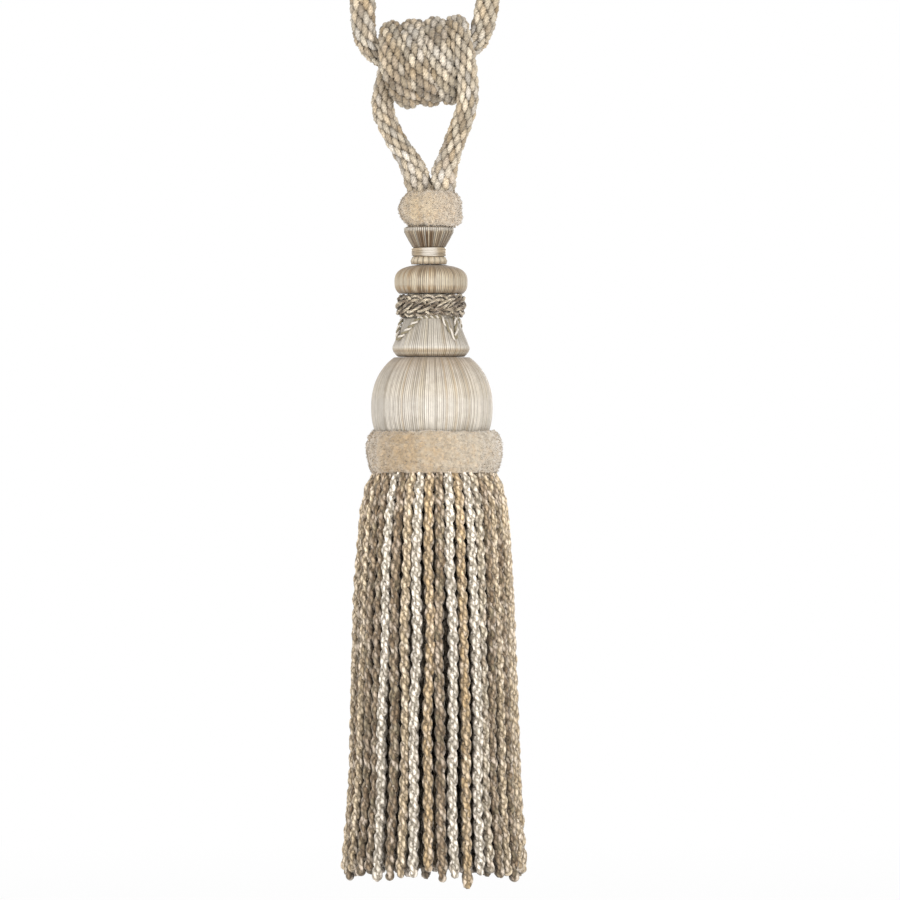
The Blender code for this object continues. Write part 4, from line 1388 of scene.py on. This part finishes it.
def pile_tone(x, left, right, coarse, fine):
    """A ruff's colours: painted light growing from left to right, grey in patches, and a painted
    sheen pale at both edges.
    """
    reach = np.abs(x).max()
    side = PILE_SIDE * reach
    share = smooth_step(x + PILE_SIDE_STRAY * reach * coarse, -side, side)
    tone = mix(srgb(left), srgb(right), share) * from_to(PILE_TONES, 0.5 + 0.5 * fine)[..., None]
    tone = mix(tone, srgb(PILE_GREY), PILE_GREY_SHARE * smooth_step(coarse, *PILE_GREY_RANGE))
    # Painted sheen at both edges.
    edge = smooth_step(np.abs(x - x.mean()) / reach, *PILE_PAINTED_SHEEN_RANGE)
    return mix(tone, srgb(PILE_PAINTED_SHEEN), PILE_PAINTED_SHEEN_SHARE * edge)


def tuft_grids(skin, normals, tone, count, seed):
    """Tufts strewn over the skin, each a three-sided spike."""
    draws = np.random.default_rng(seed)
    i, j = draws.integers(0, skin.shape[0], count), draws.integers(0, skin.shape[1], count)
    up = normals[i, j]
    roots = skin[i, j] - TUFT_ROOT * up
    leans = unit(up + TUFT_LEAN * (draws.random((count, 3)) - 0.5) * 2)
    sides = unit(np.cross(leans, draws.random((count, 3)) - 0.5))
    others = np.cross(leans, sides)
    lengths = from_to(TUFT_LENGTH, draws.random((count, 1)) ** TUFT_LENGTH_POWER)
    widths = from_to(TUFT_WIDTH, draws.random((count, 1)))
    shades = tone[i, j] * from_to(PILE_TONES, draws.random((count, 1)))
    corners = [roots + widths * (p * sides + q * others) for p, q in TUFT_CORNERS]
    low = np.stack(corners, axis=1)
    high = (roots + leans * lengths)[:, None, :] + TUFT_TAPER * (low - roots[:, None, :])
    points = np.stack([low, high], axis=1)
    # Painted shade at each tuft's root and painted light at its tip.
    colours = np.stack([shades * tuft_tone for tuft_tone in TUFT_SHADE_AND_LIGHT], axis=1)[:, :, None, :]
    ends = np.array([0.0, 1.0])
    return [Grid(spike, colour, ends) for spike, colour in zip(points, colours)]


def pile_grids(sections, colours, seed, tufts):
    """A ring of cut pile from its sections, columns x rows x 3: a grainy skin and tufts."""
    points = np.array(sections)
    across = np.roll(points, -1, axis=1) - np.roll(points, 1, axis=1)
    along = np.roll(points, -1, axis=0) - np.roll(points, 1, axis=0)
    normals = unit(np.cross(along, across))
    if np.sum(normals * (points - points.mean(axis=1, keepdims=True))) < 0:
        normals = -normals
    shape = points.shape[:2]
    coarse, fine = grain(shape, seed, COARSE_SMOOTH), grain(shape, seed + 1, FINE_SMOOTH)
    lumps = grain(shape, seed + 3, LUMP_SMOOTH)
    relief = LUMP_RELIEF * lumps + COARSE_RELIEF * coarse + FINE_RELIEF * fine
    skin = points + normals * relief[..., None]
    tone = pile_tone(points[..., 0], *colours, coarse, fine)
    base = Grid(skin, tone, np.arange(len(skin)) * PILE_ROW, loop=True)
    return [base] + tuft_grids(skin, normals, tone, tufts, seed + 2)


def ring_lump(angle, size, first, second):
    return size * (math.sin(first * angle) + math.sin(second * angle + 1)) / 2


def ring_section(x, angle, r, z):
    return np.column_stack([x + r * math.cos(angle), r * math.sin(angle), z])


def top_ruff_section(angle):
    """The section of the ring round both legs: outside, bottom, hole and dipped top."""
    middle, half = (TOP_RUFF_TOP + TOP_RUFF_BOTTOM) / 2, (TOP_RUFF_TOP - TOP_RUFF_BOTTOM) / 2
    shares = np.linspace(1, -1, OUTER_ROWS)
    full = TOP_RUFF_RADIUS * (1 - TOP_RUFF_DRAW * np.abs(shares) ** TOP_RUFF_FULLNESS)
    full = full + ring_lump(angle, *TOP_RUFF_LUMPS)
    for toward, height, size in TOP_RUFF_LOBES:
        away = (angle - math.radians(toward) + math.pi) % TURN - math.pi
        full += size * np.exp(-((away / LOBE_WIDE) ** 2) - ((shares - height) / LOBE_HIGH) ** 2)
    hole, dip = hole_radius(angle), TOP_RUFF_TOP - TOP_RUFF_DIP
    rise = TOP_RUFF_DIP * np.sin(np.linspace(0, 1, TOP_ROWS)[1:-1] * math.pi / 2)
    r = [
        full,
        np.linspace(full[-1], hole, BOTTOM_ROWS)[1:],
        np.linspace(hole, hole + HOLE_FLARE, HOLE_ROWS)[1:],
        np.linspace(hole + HOLE_FLARE, full[0], TOP_ROWS)[1:-1],
    ]
    z = [
        middle + half * shares,
        np.full(BOTTOM_ROWS - 1, TOP_RUFF_BOTTOM),
        np.linspace(TOP_RUFF_BOTTOM, dip, HOLE_ROWS)[1:],
        dip + rise,
    ]
    return ring_section(LEGS_X, angle, np.concatenate(r), np.concatenate(z))


def lower_ruff_sections():
    closed = np.array(LOWER_RUFF + LOWER_RUFF[:1], float)
    run = run_length(closed)
    z, radius = rows_at(closed, run, np.linspace(0, run[-1], LOWER_RUFF_ROWS, endpoint=False)).T
    sections = []
    for angle in ring_angles(LOWER_RUFF_COLUMNS):
        lump = ring_lump(angle, *LOWER_RUFF_LUMPS)
        r = radius + np.where(radius > LOWER_RUFF_OUTSIDE, lump, 0)
        sections.append(ring_section(SKIRT_X, angle, r, z))
    return sections


def make_ruffs():
    material = pile_material()
    sections = [top_ruff_section(angle) for angle in ring_angles(TOP_RUFF_COLUMNS)]
    grids = pile_grids(sections, TOP_PILE, TOP_SEED, TOP_TUFTS)
    add_piece("top_ruff_pile", grids, material, ["top_ruff"])
    grids = pile_grids(lower_ruff_sections(), LOWER_PILE, LOWER_SEED, LOWER_TUFTS)
    add_piece("lower_ruff_pile", grids, material, ["lower_ruff"])


def main():
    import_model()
    set_camera()
    make_cables()
    make_skirt()
    make_moulds()
    make_binding()
    make_gimp()
    make_zigzag()
    make_ruffs()
    set_studio()
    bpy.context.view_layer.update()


main()
